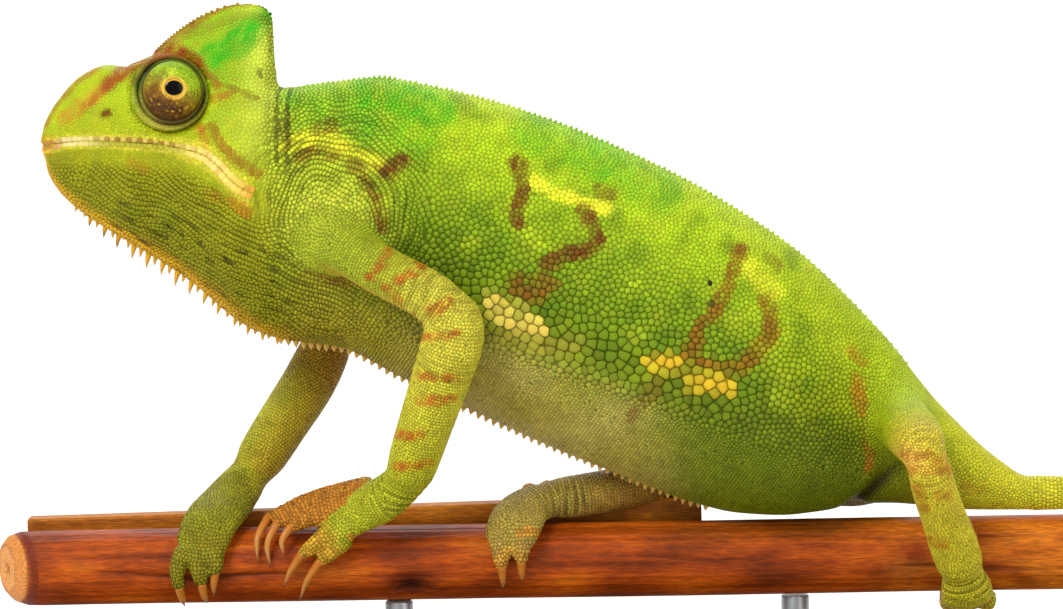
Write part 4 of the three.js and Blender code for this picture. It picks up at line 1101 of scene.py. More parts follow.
# How much wider the lips are towards the corner of the mouth.
LIP_WIDENING = 0.25
seam_off, _ = line_distance(face_middle[:, 0], face_middle[:, 2], MOUTH)
lip_clear = LIP_CLEAR * (1 + LIP_WIDENING * step(face_middle[:, 0], -97, -88))
wanted *= ~((seam_off < lip_clear) & (face_place[0] == 0) & (face_middle[:, 0] < -79))
total = np.cumsum(wanted)
count = int(total[-1])
pick = np.searchsorted(total, (np.arange(count) + chance.random(count)) / count * total[-1])
pick = np.minimum(pick, len(skin_quads) - 1)
a, b = chance.random((2, count, 1))
corner = face_points[pick]
lower_side = corner[:, 0] * (1 - a) + corner[:, 1] * a
upper_side = corner[:, 3] * (1 - a) + corner[:, 2] * a
roots = lower_side * (1 - b) + upper_side * b
surface = BVHTree.FromPolygons(skin_points.tolist(), skin_quads.tolist())
smooth_normal = corner_normals(skin_points, skin_quads)[skin_quads].mean(1)
smooth_normal = unit(smooth_normal)


def neighbours(points, number):
    """Indices of each point's nearest others."""
    tree = KDTree(len(points))
    for i, point in enumerate(points):
        tree.insert(point, i)
    tree.balance()
    return np.array([[hit[1] for hit in tree.find_n(point, number + 1)][1:] for point in points])


def onto_hide(points):
    """Moves points to the nearest place on the hide; returns them with the hide's normal there."""
    hits = [surface.find_nearest(point) for point in points]
    return np.array([hit[0] for hit in hits]), smooth_normal[[hit[2] for hit in hits]]


root_normal = smooth_normal[pick]
root_size = face_size[pick]
for turn in range(7):
    near = neighbours(roots, 7)
    gap = roots[:, None] - roots[near]
    far = np.linalg.norm(gap, axis=2)
    alike = np.einsum("ik,ijk->ij", root_normal, root_normal[near]) > 0.2
    spacing = (root_size[:, None] + root_size[near]) / 2 * 1.12
    push = np.clip(1 - far / spacing, 0, 1) * alike
    roots = roots + 0.42 * np.einsum("ij,ijk->ik", push * spacing / np.maximum(far, 1e-6), gap)
    if turn > 1:
        value, way, strength = rows(roots)
        spacing = root_size * np.where(strength > 0.55, WIDE_ROWS, 0.92)
        roots = roots - way * ((value - np.round(value / spacing) * spacing) * strength)[:, None]
    roots, root_normal = onto_hide(roots)
part, along, around, share = where_on(roots)
root_size = scale_size(roots, part, along, share)


def cells(points, normal, size, directions, lie):
    """Half-way distance to the nearest neighbour in each direction of the tangent plane: the least over
    neighbours of half their squared distance over their reach that way."""
    first = lie - normal * np.sum(lie * normal, 1)[:, None]
    first = unit(first)
    second = np.cross(normal, first)
    near = neighbours(points, 12)
    gap = points[near] - points[:, None]
    far = np.linalg.norm(gap, axis=2)
    flat = np.stack([np.einsum("ijk,ik->ij", gap, first), np.einsum("ijk,ik->ij", gap, second)], -1)
    flat *= (far / np.maximum(1e-6, np.linalg.norm(flat, axis=2)))[..., None]
    alike = np.einsum("ik,ijk->ij", normal, normal[near]) > 0.0
    angle = full_turn(directions)
    way = np.stack([np.cos(angle), np.sin(angle)])
    toward = flat @ way
    half_way = (far ** 2 / 2)[..., None] / np.maximum(toward, 1e-6)
    reach = np.where((toward > 1e-6) & alike[..., None], half_way, np.inf)
    return np.minimum(reach.min(1), 0.68 * size[:, None]), first, second, way


def capped_faces(rows, around):
    """Faces of one small tube: quads between its rings, and a fan from the last ring to the point after
    it."""
    last = (rows - 1) * around + np.arange(around)
    fan = np.stack([last, np.roll(last, -1), np.full(around, rows * around)], -1)
    return tube_quads(rows, around), fan


def domes(name, points, normal, reach, first, second, way, rings, height, colour, groove_shade_level, in_row, uv):
    """One mesh of low domes: each ring stands at a share of the cell's reach and a share of the height, and
    takes painted shade by its depth in the groove; the top is a little lighter, a painted highlight. Along a
    row the grooves are shallower and their painted shade lighter, by the square of the direction's cosine."""
    count, directions = reach.shape
    merged = in_row[:, None] * way[0][None] ** 2
    outward = first[:, None] * way[0][None, :, None] + second[:, None] * way[1][None, :, None]
    rows = [
        points[:, None]
        + outward * (reach * out)[..., None]
        + normal[:, None] * (height[:, None] * (up + depth * merged))[..., None]
        for out, up, depth in rings
    ]
    top = points + normal * height[:, None]
    block = np.concatenate([*rows, top[:, None]], axis=1)
    per = block.shape[1]
    base = np.arange(count)[:, None, None] * per
    quads, fans = capped_faces(len(rings), directions)
    quads, fans = (base + quads[None]).reshape(-1, 4), (base + fans[None]).reshape(-1, 3)
    made = mesh_object(name, block.reshape(-1, 3), quads, fans)
    # Painted shade in the grooves: each ring darkens by its depth, less along a row; the top is 6% lighter,
    # a painted highlight.
    dark = (1 - groove_shade_level)[:, None] * (1 - merged)
    shade = np.stack([1 - dark * depth for _, _, depth in rings], 1).reshape(count, -1, 1)
    tones = np.concatenate([colour[:, None] * shade, colour[:, None] * 1.06], axis=1)
    give_colour(made, "tint", tones.reshape(-1, 3))
    patch = np.concatenate([way.T * PATCH * out for out, _, _ in rings] + [np.zeros((1, 2))])
    place = (uv[:, None] + patch[None]).reshape(-1, 2)
    layer = made.data.uv_layers.new(name="OFBake")
    corner = read(made.data.loops, "vertex_index", 1, np.int32)[:, 0]
    layer.data.foreach_set("uv", place[corner].astype(np.float32).ravel())
    return made


# Half the width of one scale's patch on the unwrap.
PATCH = 0.0015
_, way, strength = rows(roots)
lie = np.where((strength > 0)[:, None], np.cross(root_normal, way), (1.0, 0.2, -0.4))
in_row = 0.75 * step(strength, 0.1, 0.4)
parting = 0.34 * (strength > 0.55) * np.clip(0.55 + 0.9 * ripple(roots, 5, 65), 0.1, 1)
parting *= step(roots[:, 0], -112, -100)
root_colour = markings_and_painted_shade(roots, root_normal, part, along, share)
x, y, z = roots.T
body = part == BODY
on_head = body * step(-x, 75, 80)
uneven = 0.11 - 0.05 * on_head - 0.04 * body * step(share, 0.6, 0.8)
root_colour *= 1 + uneven[:, None] * np.clip(chance.normal(size=(len(roots), 1)), -2, 2)
root_colour *= 1 + 0.03 * chance.normal(size=(len(roots), 3))
on_neck = body * step(x, -82, -76) * (1 - step(x, -60, -50))
mid_flank = body * bell(share - 0.5, 0.24) * step(x, -60, -45) * (1 - step(x, 10, 34))
on_throat = on_head * (z < mouth(x) - 4)
# How light each scale's groove is kept: the lower this is, the darker its painted shade.
groove_shade_level = 0.64 - 0.36 * mid_flank - 0.38 * on_neck + 0.22 * on_head - 0.48 * on_throat
on_back = body * step(share, 0.55, 0.8) * (1 - on_neck) * (1 - on_head)
low_flank = body * (x > -50) * (1 - step(share, 0.26, 0.34))
groove_shade_level = groove_shade_level + 0.24 * on_back + 0.2 * low_flank
height = 0.19 + 0.07 * on_neck - 0.11 * on_head * (1 - on_throat) - 0.02 * mid_flank
height = (height - 0.06 * on_back - 0.06 * low_flank) * root_size


def unwrap(along, around):
    """Place on the unrolled hide: rank along by rank around, so that patches spread evenly over the
    square."""
    def even(value):
        order = np.empty(len(value))
        order[np.argsort(value)] = np.arange(len(value))
        return 0.01 + 0.98 * order / max(1, len(value) - 1)
    return np.column_stack([even(along), even(around)])


# Keratin, grown in thin horny layers: a low satin shine, broken by a grain 0.22 mm across.
GRAIN_MM = 0.22
scale_hide, out, tint, place = painted_material("keratin_scales")
grain = add_node(scale_hide, "ShaderNodeTexNoise", {"Vector": (place, "Object")},
                 Scale=1 / (GRAIN_MM * MM), Detail=2.0)
mottle = add_node(scale_hide, "ShaderNodeMapRange", {"Value": (grain, "Fac")}, From_Min=0.3, From_Max=0.7,
                  To_Min=0.86, To_Max=1.1)
toned = add_node(scale_hide, "ShaderNodeVectorMath", {0: (tint, "Color"), 1: (mottle, "Result")},
                 operation="MULTIPLY")
bump = add_node(scale_hide, "ShaderNodeBump", {"Height": (grain, "Fac")}, Strength=0.25, Distance=0.00005)
scale_shader = add_node(scale_hide, "ShaderNodeBsdfPrincipled",
                        {"Base Color": (toned, "Vector"), "Normal": (bump, "Normal")}, Roughness=0.42,
                        Specular_IOR_Level=0.18)
scale_hide.node_tree.links.new(scale_shader.outputs[0], out.inputs[0])

# Scales wider than this, in mm, are plates with more corners. Each ring of a scale's dome is a share of its
# reach, a share of its height and a depth in the groove, which lifts it along a row and sets its painted
# shade.
PLATE_FROM = 1.45
FINE = {"directions": 6, "rings": ((1.0, -0.3, 1.0), (0.8, 0.72, 0.12))}
BEADS = {"directions": 8, "rings": ((1.0, -0.3, 1.0), (0.84, 0.78, 0.12))}
PLATES = {"directions": 14, "rings": ((1.0, -0.3, 1.0), (0.9, 0.6, 0.35), (0.74, 0.92, 0.0))}
forelimb = np.isin(part, parts("arm", "hand"))
plate = body & (root_size > PLATE_FROM)
trunk = body & (x >= -52) & ~plate
REGIONS = {
    "head": body & (x < -79),
    "neck": body & (x >= -79) & (x < -52),
    "flank": trunk & (share >= 0.4),
    "belly": trunk & (share < 0.4),
    "plates": plate & (x >= -52),
    "tail": part == TAIL,
    "foreleg": forelimb,
    "hindleg": (part > TAIL) & ~forelimb,
}
STYLES = {"plates": PLATES, "head": BEADS, "neck": BEADS, "flank": BEADS}
HALVES = (("_left", y < 0), ("_right", y >= 0))
cut = {}
for style in (FINE, BEADS, PLATES):
    cut[style["directions"]] = cells(roots, root_normal, root_size, style["directions"], lie)
for region, in_region in REGIONS.items():
    style = STYLES.get(region, FINE)
    reach, first, second, way = cut[style["directions"]]
    reach = reach * (1 - parting[:, None] * way[1] ** 2)
    for ending, on_side in (("", True),) if region == "tail" else HALVES:
        here = in_region & on_side
        made = domes(f"scales_{region}{ending}", roots[here], root_normal[here], reach[here], first[here],
                     second[here], way, style["rings"], height[here], root_colour[here], groove_shade_level[here],
                     in_row[here], unwrap(along[here], around[here]))
        made.data.materials.append(scale_hide)
        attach(made, "root")

# ---- Lips ----
# A row of larger, squarish scales above and below the mouth. They are pale, rounded plates of the hide's
# own keratin, and close along one fine seam.
LIP_SCALE = (1.0, 0.98)
mouth_x = np.linspace(-119.9, -80.6, 400)
mouth_run = np.concatenate([[0], np.cumsum(np.hypot(np.diff(mouth_x), np.diff(mouth(mouth_x))))])
lip_at = np.arange(0.6, mouth_run[-1] - 0.3, LIP_SCALE[0])
slope = np.gradient(mouth(mouth_x), mouth_x)
lip_roots, lip_lies = [], []
for side in (-1, 1):
    for raised in (0.55, -0.5):
        lip_x = np.interp(lip_at + chance.normal(size=len(lip_at)) * 0.06, mouth_run, mouth_x)
        tilt = np.arctan(np.interp(lip_x, mouth_x, slope))
        off = raised * (1 + LIP_WIDENING * step(lip_x, -97, -88))
        px = lip_x - off * np.sin(tilt)
        pz = mouth(lip_x) + off * np.cos(tilt)
        lip_roots.append(np.column_stack([px, side * (half_width(px) + 3), pz]))
        lip_lies.append(np.column_stack([np.cos(tilt), 0 * tilt, np.sin(tilt)]))
lip_roots, lip_lies = np.concatenate(lip_roots), np.concatenate(lip_lies)


def toward_hide(points):
    """Slides points level in to the hide, so that height and place along the body stay as they are."""
    placed, normal = [], []
    for point in points:
        hit = surface.ray_cast(point, (0, -np.sign(point[1]), 0))
        placed.append(hit[0])
        normal.append(smooth_normal[hit[2]])
    return np.array(placed), np.array(normal)


lip_points, lip_normal = toward_hide(lip_roots)
turn = full_turn(14)
half_long = LIP_SCALE[0] / 2 * 1.1
half_high = LIP_SCALE[1] / 2 * (1 + LIP_WIDENING * step(lip_points[:, :1], -97, -88))
outline = ((np.abs(np.cos(turn)) / half_long) ** 4 + (np.abs(np.sin(turn)) / half_high) ** 4) ** -0.25
first = lip_lies - lip_normal * np.sum(lip_lies * lip_normal, 1)[:, None]
first = unit(first)
second = np.cross(lip_normal, first)
LIP_STOPS = (
    (-120.4, "#b47a30"), (-117.4, "#b8843c"), (-115, "#dcc888"), (-110, "#dccc80"), (-106, "#b8a840"),
    (-98, "#bcaa3c"), (-92, "#e2cc64"), (-88, "#ecd074"), (-84, "#e8c858"), (-80.5, "#d89c30"),
)
upper_lip = lip_points[:, 2] > mouth(lip_points[:, 0])
dashed = step(lip_points[:, 0], -113, -108) * (1 - step(lip_points[:, 0], -96, -91))
second_one = np.arange(len(lip_points)) % 2 == 1
lip_colour = blend_in(
    stops(LIP_STOPS, lip_points[:, 0]),
    # On the middle of the upper lip every other scale is dark brown, a painted shadow between the lip
    # scales; the ones between are cream.
    ("#94601c", 0.7 * dashed * upper_lip * ~second_one),
    ("#d8b860", 0.6 * dashed * upper_lip * second_one),
    ("#a8a428", 0.7 * dashed * ~upper_lip),
    ("#c8743c", 0.4 * step(ripple(lip_points, 3, 74), 0.2, 0.9) * (lip_points[:, 0] > -92)),
)
lip_colour *= 1 + 0.05 * chance.normal(size=(len(lip_points), 1))
smooth_lip = np.maximum(step(lip_points[:, 0], -97, -92), 1 - step(lip_points[:, 0], -112, -108))
lips = domes("lip_scales", lip_points, lip_normal, outline, first, second,
             np.stack([np.cos(turn), np.sin(turn)]), ((1.0, -0.3, 1.0), (0.86, 0.7, 0.2), (0.55, 0.95, 0.0)),
             0.18 - 0.08 * smooth_lip, lip_colour, 0.55 + 0.3 * smooth_lip, 0.3 + 0.7 * smooth_lip,
             unwrap(lip_points[:, 0], lip_points[:, 1] * 100 + lip_points[:, 2]))
lips.data.materials.append(scale_hide)
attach(lips, "root")

# ---- Crests ----
# Soft conical spines of horny skin on the middle line: long golden ones under the chin and throat, short
# pale ones along the belly, and a low saw edge along the back and the front of the casque.


def spines(name, foot, way, height, radius, bend, foot_colour, tip_colour, material):
    """One mesh of bent cones: rings shrink by the power 0.8 of the height that is left, and lean by the
    square of the height that is gone."""
    turn = full_turn(7)
    shares = np.array([-0.3, 0.0, 0.3, 0.6, 0.85])
    side = np.cross(way, (0.0, 1.0, 0.0))
    side = unit(side)
    across = np.cross(way, side)
    rings = []
    for up in shares:
        middle = foot + way * (height * up)[:, None] + bend * (height * max(0, up) ** 2)[:, None]
        size = radius * max(0.12, 1 - max(0, up)) ** 0.8
        ring = side[:, None] * np.cos(turn)[None, :, None] + across[:, None] * np.sin(turn)[None, :, None]
        rings.append(middle[:, None] + ring * size[:, None, None])
    tip = foot + (way + bend) * height[:, None]
    block = np.concatenate([np.stack(rings, 1).reshape(len(foot), -1, 3), tip[:, None]], 1)
    base = np.arange(len(foot))[:, None, None] * block.shape[1]
    quads, fans = capped_faces(len(shares), len(turn))
    quads, fans = (base + quads[None]).reshape(-1, 4), (base + fans[None]).reshape(-1, 3)
    made = mesh_object(name, block.reshape(-1, 3), quads, fans)
    blend = np.concatenate([np.repeat(np.clip(shares, 0, 1), len(turn)), [1.0]])[None, :, None]
    tones = foot_colour[:, None] * (1 - blend) + tip_colour[:, None] * blend
    give_colour(made, "tint", tones.reshape(-1, 3))
    made.data.materials.append(material)
    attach(made, "root")
    return made


def crest_feet(line, x, inset, side_sign):
    """Places on the middle line at x, sunk by `inset` mm, with the outline's outward direction there."""
    slope = np.gradient(line(x), x)
    way = np.column_stack([-slope * side_sign, 0 * x, np.full(len(x), 1.0 * side_sign)])
    way = unit(way)
    return np.column_stack([x, 0 * x, line(x)]) - way * inset, way


gular_height = curve_through([
    (-114, 0.7), (-110.8, 1.6), (-105.4, 2.3), (-100, 2.7), (-94.8, 2.6), (-89.4, 2.0),
    (-84.2, 1.4), (-78, 1.1), (-62, 1.0),
])
x = np.arange(-114.2, -77, 1.3)
x = x + chance.normal(size=len(x)) * 0.12
foot, way = crest_feet(belly, x, COAT, -1)
way = way * 0.45 + np.array([-0.05, 0, -0.9]) * 0.55
way = unit(way)
height = gular_height(x) * chance.uniform(0.82, 1.05, len(x)) + COAT
height = height * np.where(np.arange(len(x)) % 2 == 0, 1.0, 0.55)
dark = (np.isin(np.arange(len(x)), (2, 4, 6)))[:, None]
spines("gular_crest", foot, way, height, 0.28 + 0.12 * height, np.array([0.12, 0, 0.04]),
       one_colour("#dca010", len(x)), np.where(dark, linear("#4a3a30"), linear("#c0924c")), scale_hide)
x = np.arange(-77, 2, 1.4)
foot, way = crest_feet(belly, x, COAT, -1)
height = 0.8 * chance.uniform(0.75, 1.1, len(x)) + COAT
spines("belly_crest", foot, way, height, 0.62 + 0 * x, np.array([0.2, 0, 0]),
       one_colour("#c49a3a", len(x)), one_colour("#e0bd74", len(x)), scale_hide)
x = np.arange(-71, 40, 0.95)
foot, way = crest_feet(back, x, COAT, 1)
height = np.interp(x, (-71, -60, -40, 0, 40), (0.05, 0.3, 0.3, 0.15, 0.02))
height = height * chance.uniform(0.3, 1.4, len(x)) + COAT
back_tone = markings_and_painted_shade(foot, way, np.zeros(len(x)), x, 0 * x + 1)
spines("back_crest", foot, way, height, 0.42 + 0 * x, np.array([0.25, 0, 0]),
       back_tone * 0.8, back_tone * 1.05, scale_hide)
casque_z = np.arange(94, 105.2, 0.42)
casque_x = curve_through(CASQUE_FRONT)(casque_z)
edge_slope = np.gradient(casque_x, casque_z)
way = np.column_stack([-np.ones(len(casque_z)), 0 * casque_z, edge_slope])
way = unit(way)
foot = np.column_stack([casque_x, 0 * casque_z, casque_z]) - way * COAT
edge_tone = markings_and_painted_shade(foot, way, np.zeros(len(foot)), foot[:, 0], 0 * casque_z + 1)
spines("casque_crest", foot, way, 0.1 * chance.uniform(0.6, 1.3, len(foot)) + COAT, np.full(len(foot), 0.42),
       np.zeros(3), edge_tone * 0.85, edge_tone * 1.1, scale_hide)

# ---- Eyes ----
# Each eye is a turret of fused lids, covered with fine granules in rings and creased round, that leaves one
# small round hole. The glossy ball behind it shows a black pupil and a thin golden iris.
LOOK_UP = math.radians(12)
LOOK_BACK = math.radians(10)
# The turret's profile from its rim to the hole: distance from the eye's axis and height along it, in mm.
TURRET = [
    (7.1, -1.2), (7.1, 0.0), (6.95, 0.7), (6.65, 1.15), (6.3, 1.1), (6.05, 0.85), (5.9, 1.15),
    (5.75, 1.45), (5.5, 1.4), (5.35, 1.45), (5.3, 2.2), (5.15, 3.2), (4.85, 4.1), (4.3, 5.0),
    (3.6, 5.7), (2.9, 6.2), (2.3, 6.5), (1.9, 6.62), (1.7, 6.5),
]
CREASES = (5.4, 6.1)
LID_AROUND, LID_ROWS = 96, 70
GRANULE_SPACING = 0.46
GRANULE_ROW = 0.42
GRANULE_HEIGHT = 0.07
PUPIL_RADIUS = 1.56
# The pupil's height over its length.
PUPIL_FLATNESS = 0.86
BALL_RADIUS = 4.6
BALL_REACH = 6.72
BALL_AROUND, BALL_ROWS = 64, 48


def eye_middle(side):
    """Where the eye's axis leaves the head."""
    return np.array([EYE["x"], side * EYE["y"], EYE["z"]])


def eye_frame(side):
    """The eye's axes: outwards (turned up and back a little), along the head and up."""
    level = math.cos(LOOK_UP)
    outward = np.array([math.sin(LOOK_BACK) * level, side * math.cos(LOOK_BACK) * level, math.sin(LOOK_UP)])
    along_head = np.array([1.0, 0.0, 0.0]) - outward * outward[0]
    along_head /= np.linalg.norm(along_head)
    return outward, along_head, np.cross(along_head, outward) * side


def turret_points(run, angle, side):
    """Points of the turret: radius and height by the run along its profile, turned about the eye's axis;
    the outer folds are a little wider below and in front."""
    profile = np.array(TURRET)
    length = lengths_along(profile)
    radius = curve_through(list(zip(length, profile[:, 0])))(run * length[-1])
    high = curve_through(list(zip(length, profile[:, 1])))(run * length[-1])
    creased = step(run, 0.45, 0.6) * (1 - step(run, 0.85, 0.95))
    crease = 0.04 * np.cos(2 * math.pi * run * length[-1] / 0.9) * creased
    outward, along_head, upward = eye_frame(side)
    puffed = 1 + 0.035 * np.cos(angle - 3.7) * step(radius, 5.3, 6.6) + 0.012 * np.cos(3 * angle + 1)
    high = high + 0.22 * np.cos(2 * angle + 0.8) * step(radius, 5.7, 6.6)
    wide = (radius + crease) * puffed
    return (
        eye_middle(side)
        + along_head * (wide * np.cos(angle))[..., None]
        + upward * (wide * np.sin(angle))[..., None]
        + outward * (high + crease * 0.4)[..., None]
    ), length[-1]


# Lid colours from below (-1) to above (1), on the dome and on the fold round it.
DOME_STOPS = ((-1, "#5c3604"), (-0.6, "#7c5206"), (-0.25, "#96760a"), (0.05, "#8c860c"), (0.35, "#98a810"),
              (0.7, "#a2c014"), (1, "#8cb412"))
# The fold darkens upwards: partly its own colour, partly painted shade under the brow.
FOLD_STOPS = ((-1, "#b4a834"), (-0.5, "#b0b038"), (0, "#94a420"), (0.6, "#647e12"), (1, "#62720e"))


def lid_colour_and_painted_light(points, radial, angle):
    """Lid colour: mottled lime above and gold to brown below, with the brow's orange on the top of the outer
    fold, and gold round the hole; painted shade in the creases, painted shadows round the fold, and a
    painted highlight on the dome's top."""
    blotch = 0.3 * ripple(points, 2.6, 81) + 0.22 * ripple(points, 1.1, 82)
    high = np.sin(angle + 0.2) + 0.3 * np.cos(angle) * (radial < 5) + blotch * step(radial, 2.2, 3)
    colour = stops(DOME_STOPS, high * np.clip(radial / 4.0, 0, 1))
    fold = stops(FOLD_STOPS, np.sin(angle) + 0.5 * ripple(points, 3.1, 85))
    colour = colour + (fold - colour) * step(radial, 5.3, 5.6)[:, None]
    below = step(-np.sin(angle - 0.5), 0.2, 0.8)
    front = bell(np.abs(angle) - math.pi, 0.75)
    brow = bell(angle - 1.75, 0.8) * step(radial, 6.1, 6.5)
    specks = ripple(points, 1.0, 84) + 0.6 * ripple(points, 0.7, 86)
    on_dome = 1 - step(radial, 5.0, 5.4)
    glow = 2.12 + 0.16 * np.cos(angle * 2 + 0.6) + 0.12 * ripple(points, 1.3, 83)
    return blend_in(
        colour,
        ("#d8a830", 0.75 * on_dome * step(specks, 0.35, 1.1) * step(-np.sin(angle), -0.2, 0.5)),
        ("#2e1802", 0.6 * on_dome * step(-specks, 0.35, 1.1) * step(-np.sin(angle), -0.1, 0.6)),
        ("#d8dc3c", 0.6 * on_dome * step(specks, 0.4, 1.2) * step(np.sin(angle), -0.1, 0.4)),
        ("#5c8c08", 0.6 * on_dome * step(-specks, 0.4, 1.2) * step(np.sin(angle), 0, 0.5)),
        # Painted shade in the two creases.
        ("#3c2c06", 0.75 * bell(radial - CREASES[0], 0.2)),
        ("#3c2c06", 0.7 * bell(radial - CREASES[1], 0.2)),
        # Painted shadows round the fold: in front, below, low on the dome, and a black crescent above the
        # front under the brow.
        ("#2c3806", 0.7 * front * bell(radial - 6.1, 0.4)),
        ("#3e1c04", 0.85 * below * bell(radial - 5.9, 0.34)),
        ("#482404", 0.7 * bell(radial - 5.2, 0.45) * step(-np.sin(angle + 0.2), 0.3, 0.9)),
        ("#0c1002", 0.95 * bell(radial - 5.85, 0.36) * bell(angle - 2.4, 0.38)),
        ("#9c4412", 0.85 * brow),
        # A painted highlight on the top of the dome near the hole.
        ("#e0e83c", 0.6 * bell(angle - 1.7, 0.2) * step(radial, 2.0, 2.5) * (1 - step(radial, 3.0, 4.2))),
        ("#eebc40", 0.95 * (1 - step(radial - glow, -0.15, 0.4))),
    )


# Thin, tight skin, kept moist: a soft shine, with creases as fine as the hide's.
lid_hide, out, tint, place = painted_material("lid_skin")
crease = add_node(lid_hide, "ShaderNodeTexVoronoi", {"Vector": (place, "Object")},
                  Scale=1 / (CREASE_MM * MM))
bump = add_node(lid_hide, "ShaderNodeBump", {"Height": (crease, "Distance")}, Strength=0.3, Distance=0.00005)
lid_shader = add_node(lid_hide, "ShaderNodeBsdfPrincipled",
                      {"Base Color": (tint, "Color"), "Normal": (bump, "Normal")},
                      Roughness=0.4, Specular_IOR_Level=0.35)
lid_hide.node_tree.links.new(lid_shader.outputs[0], out.inputs[0])

# A wet cornea over a black pupil: almost a mirror, with a tear film that wavers 0.4 mm across.
TEAR_FILM_MM = 0.4
eyeball, out, tint, place = painted_material("wet_cornea")
film = add_node(eyeball, "ShaderNodeTexNoise", {"Vector": (place, "Object")}, Scale=1 / (TEAR_FILM_MM * MM))
bump = add_node(eyeball, "ShaderNodeBump", {"Height": (film, "Fac")}, Strength=0.03, Distance=0.00001)
eye_shader = add_node(eyeball, "ShaderNodeBsdfPrincipled",
                      {"Base Color": (tint, "Color"), "Normal": (bump, "Normal")},
                      Roughness=0.08, Specular_IOR_Level=0.16)
eyeball.node_tree.links.new(eye_shader.outputs[0], out.inputs[0])



def about_axis(points, side):
    """Distance of points from the eye's axis, and their angle round it from the front of the head
    upwards."""
    _, along_head, upward = eye_frame(side)
    off = points - eye_middle(side)
    ahead, up = off @ along_head, off @ upward
    return np.hypot(ahead, up), np.arctan2(up, ahead)


for word, side in (("left", -1), ("right", 1)):
    outward, along_head, upward = eye_frame(side)
    turn = full_turn(LID_AROUND)
    run = np.linspace(0, 1, LID_ROWS)
    rings, length = turret_points(run[:, None] + 0 * turn, turn[None] + 0 * run[:, None], side)
    rings = (rings if side > 0 else rings[:, ::-1]).reshape(-1, 3)
    lid = mesh_object(f"eye_{word}_lid", rings, tube_quads(LID_ROWS, LID_AROUND))
    # Under the granules the lid takes painted shade: three quarters of their colour.
    give_colour(lid, "tint", lid_colour_and_painted_light(rings, *about_axis(rings, side)) * 0.75)
    lid.data.materials.append(lid_hide)
    bead_rows = []
    for here in np.arange(0.06, 0.975, GRANULE_ROW / length):
        ring, _ = turret_points(np.array([here]), np.array([0.0]), side)
        wide = np.linalg.norm((ring - eye_middle(side))[0] @ np.stack([along_head, upward]).T)
        number = int(2 * math.pi * wide / GRANULE_SPACING)
        angles = (np.arange(number) + chance.random()) / number * 2 * math.pi
        bead_rows.append(np.column_stack([np.full(number, here), angles]))
    beads = np.concatenate(bead_rows)
    beads[:, 1] += chance.normal(size=len(beads)) * 0.012
    spots, _ = turret_points(beads[:, 0], beads[:, 1], side)
    ahead, _ = turret_points(np.minimum(1, beads[:, 0] + 0.01), beads[:, 1], side)
    turned, _ = turret_points(beads[:, 0], beads[:, 1] + 0.01, side)
    normal = np.cross(turned - spots, ahead - spots)
    inner_eye = (EYE["x"], side * EYE["y"] * 0.2, EYE["z"])
    normal *= np.sign(np.sum(normal * (spots - inner_eye), 1))[:, None]
    normal = unit(normal)
    even = np.ones(len(spots))
    size = even * GRANULE_SPACING
    reach, first, second, way = cells(spots, normal, size, FINE["directions"], turned - spots)
    radial, angle = about_axis(spots, side)
    colour = lid_colour_and_painted_light(spots, radial, angle) * (1 + 0.09 * chance.normal(size=(len(spots), 1)))
    granules = domes(f"eye_{word}_granules", spots, normal, reach, first, second, way, FINE["rings"],
                     even * GRANULE_HEIGHT, colour, even * 0.78, even * 0.3,
                     0.5 + 0.07 * np.column_stack([radial * np.cos(angle), radial * np.sin(angle)]))
    granules.data.materials.append(scale_hide)
    ball_turn = full_turn(BALL_AROUND)
    ball_open = np.linspace(0.02, 0.62, BALL_ROWS)
    centre = eye_middle(side) + outward * (BALL_REACH - BALL_RADIUS)
    ball = (
        centre + along_head * (BALL_RADIUS * np.sin(ball_open[:, None]) * np.cos(ball_turn))[..., None]
        + upward * (BALL_RADIUS * np.sin(ball_open[:, None]) * np.sin(ball_turn))[..., None]
        + outward * (BALL_RADIUS * np.cos(ball_open[:, None]) + 0 * ball_turn)[..., None]
    )
    points, quads, triangles = closed_loft(ball if side < 0 else ball[:, ::-1])
    eye_ball = mesh_object(f"eye_{word}_ball", points, quads, triangles)
    off = points - centre
    radial = np.hypot(off @ along_head, off @ upward / PUPIL_FLATNESS)
    iris = step(radial, PUPIL_RADIUS, PUPIL_RADIUS + 0.12)
    give_colour(eye_ball, "tint", blend_in(one_colour("#030202", len(points)), ("#e8b434", iris)))
    eye_ball.data.materials.append(eyeball)
    for piece in (lid, granules, eye_ball):
        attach(piece, "root")
    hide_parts(f"eye_{word}")

# ---- Claws ----
# Twenty curved claws of tan horn, darker at the tip. Each stands out of its toe's end, as a rod that tapers
# through the claw's root, its bend and its tip.
CLAW_RADII = (0.9, 0.6, 0.2)
CLAW_AROUND, CLAW_ROWS = 12, 15
CLAW_ROOT = 0.5
CLAW_STOPS = ((0, "#b06414"), (0.35, "#bc7424"), (0.75, "#bc8444"), (1, "#5c3410"))
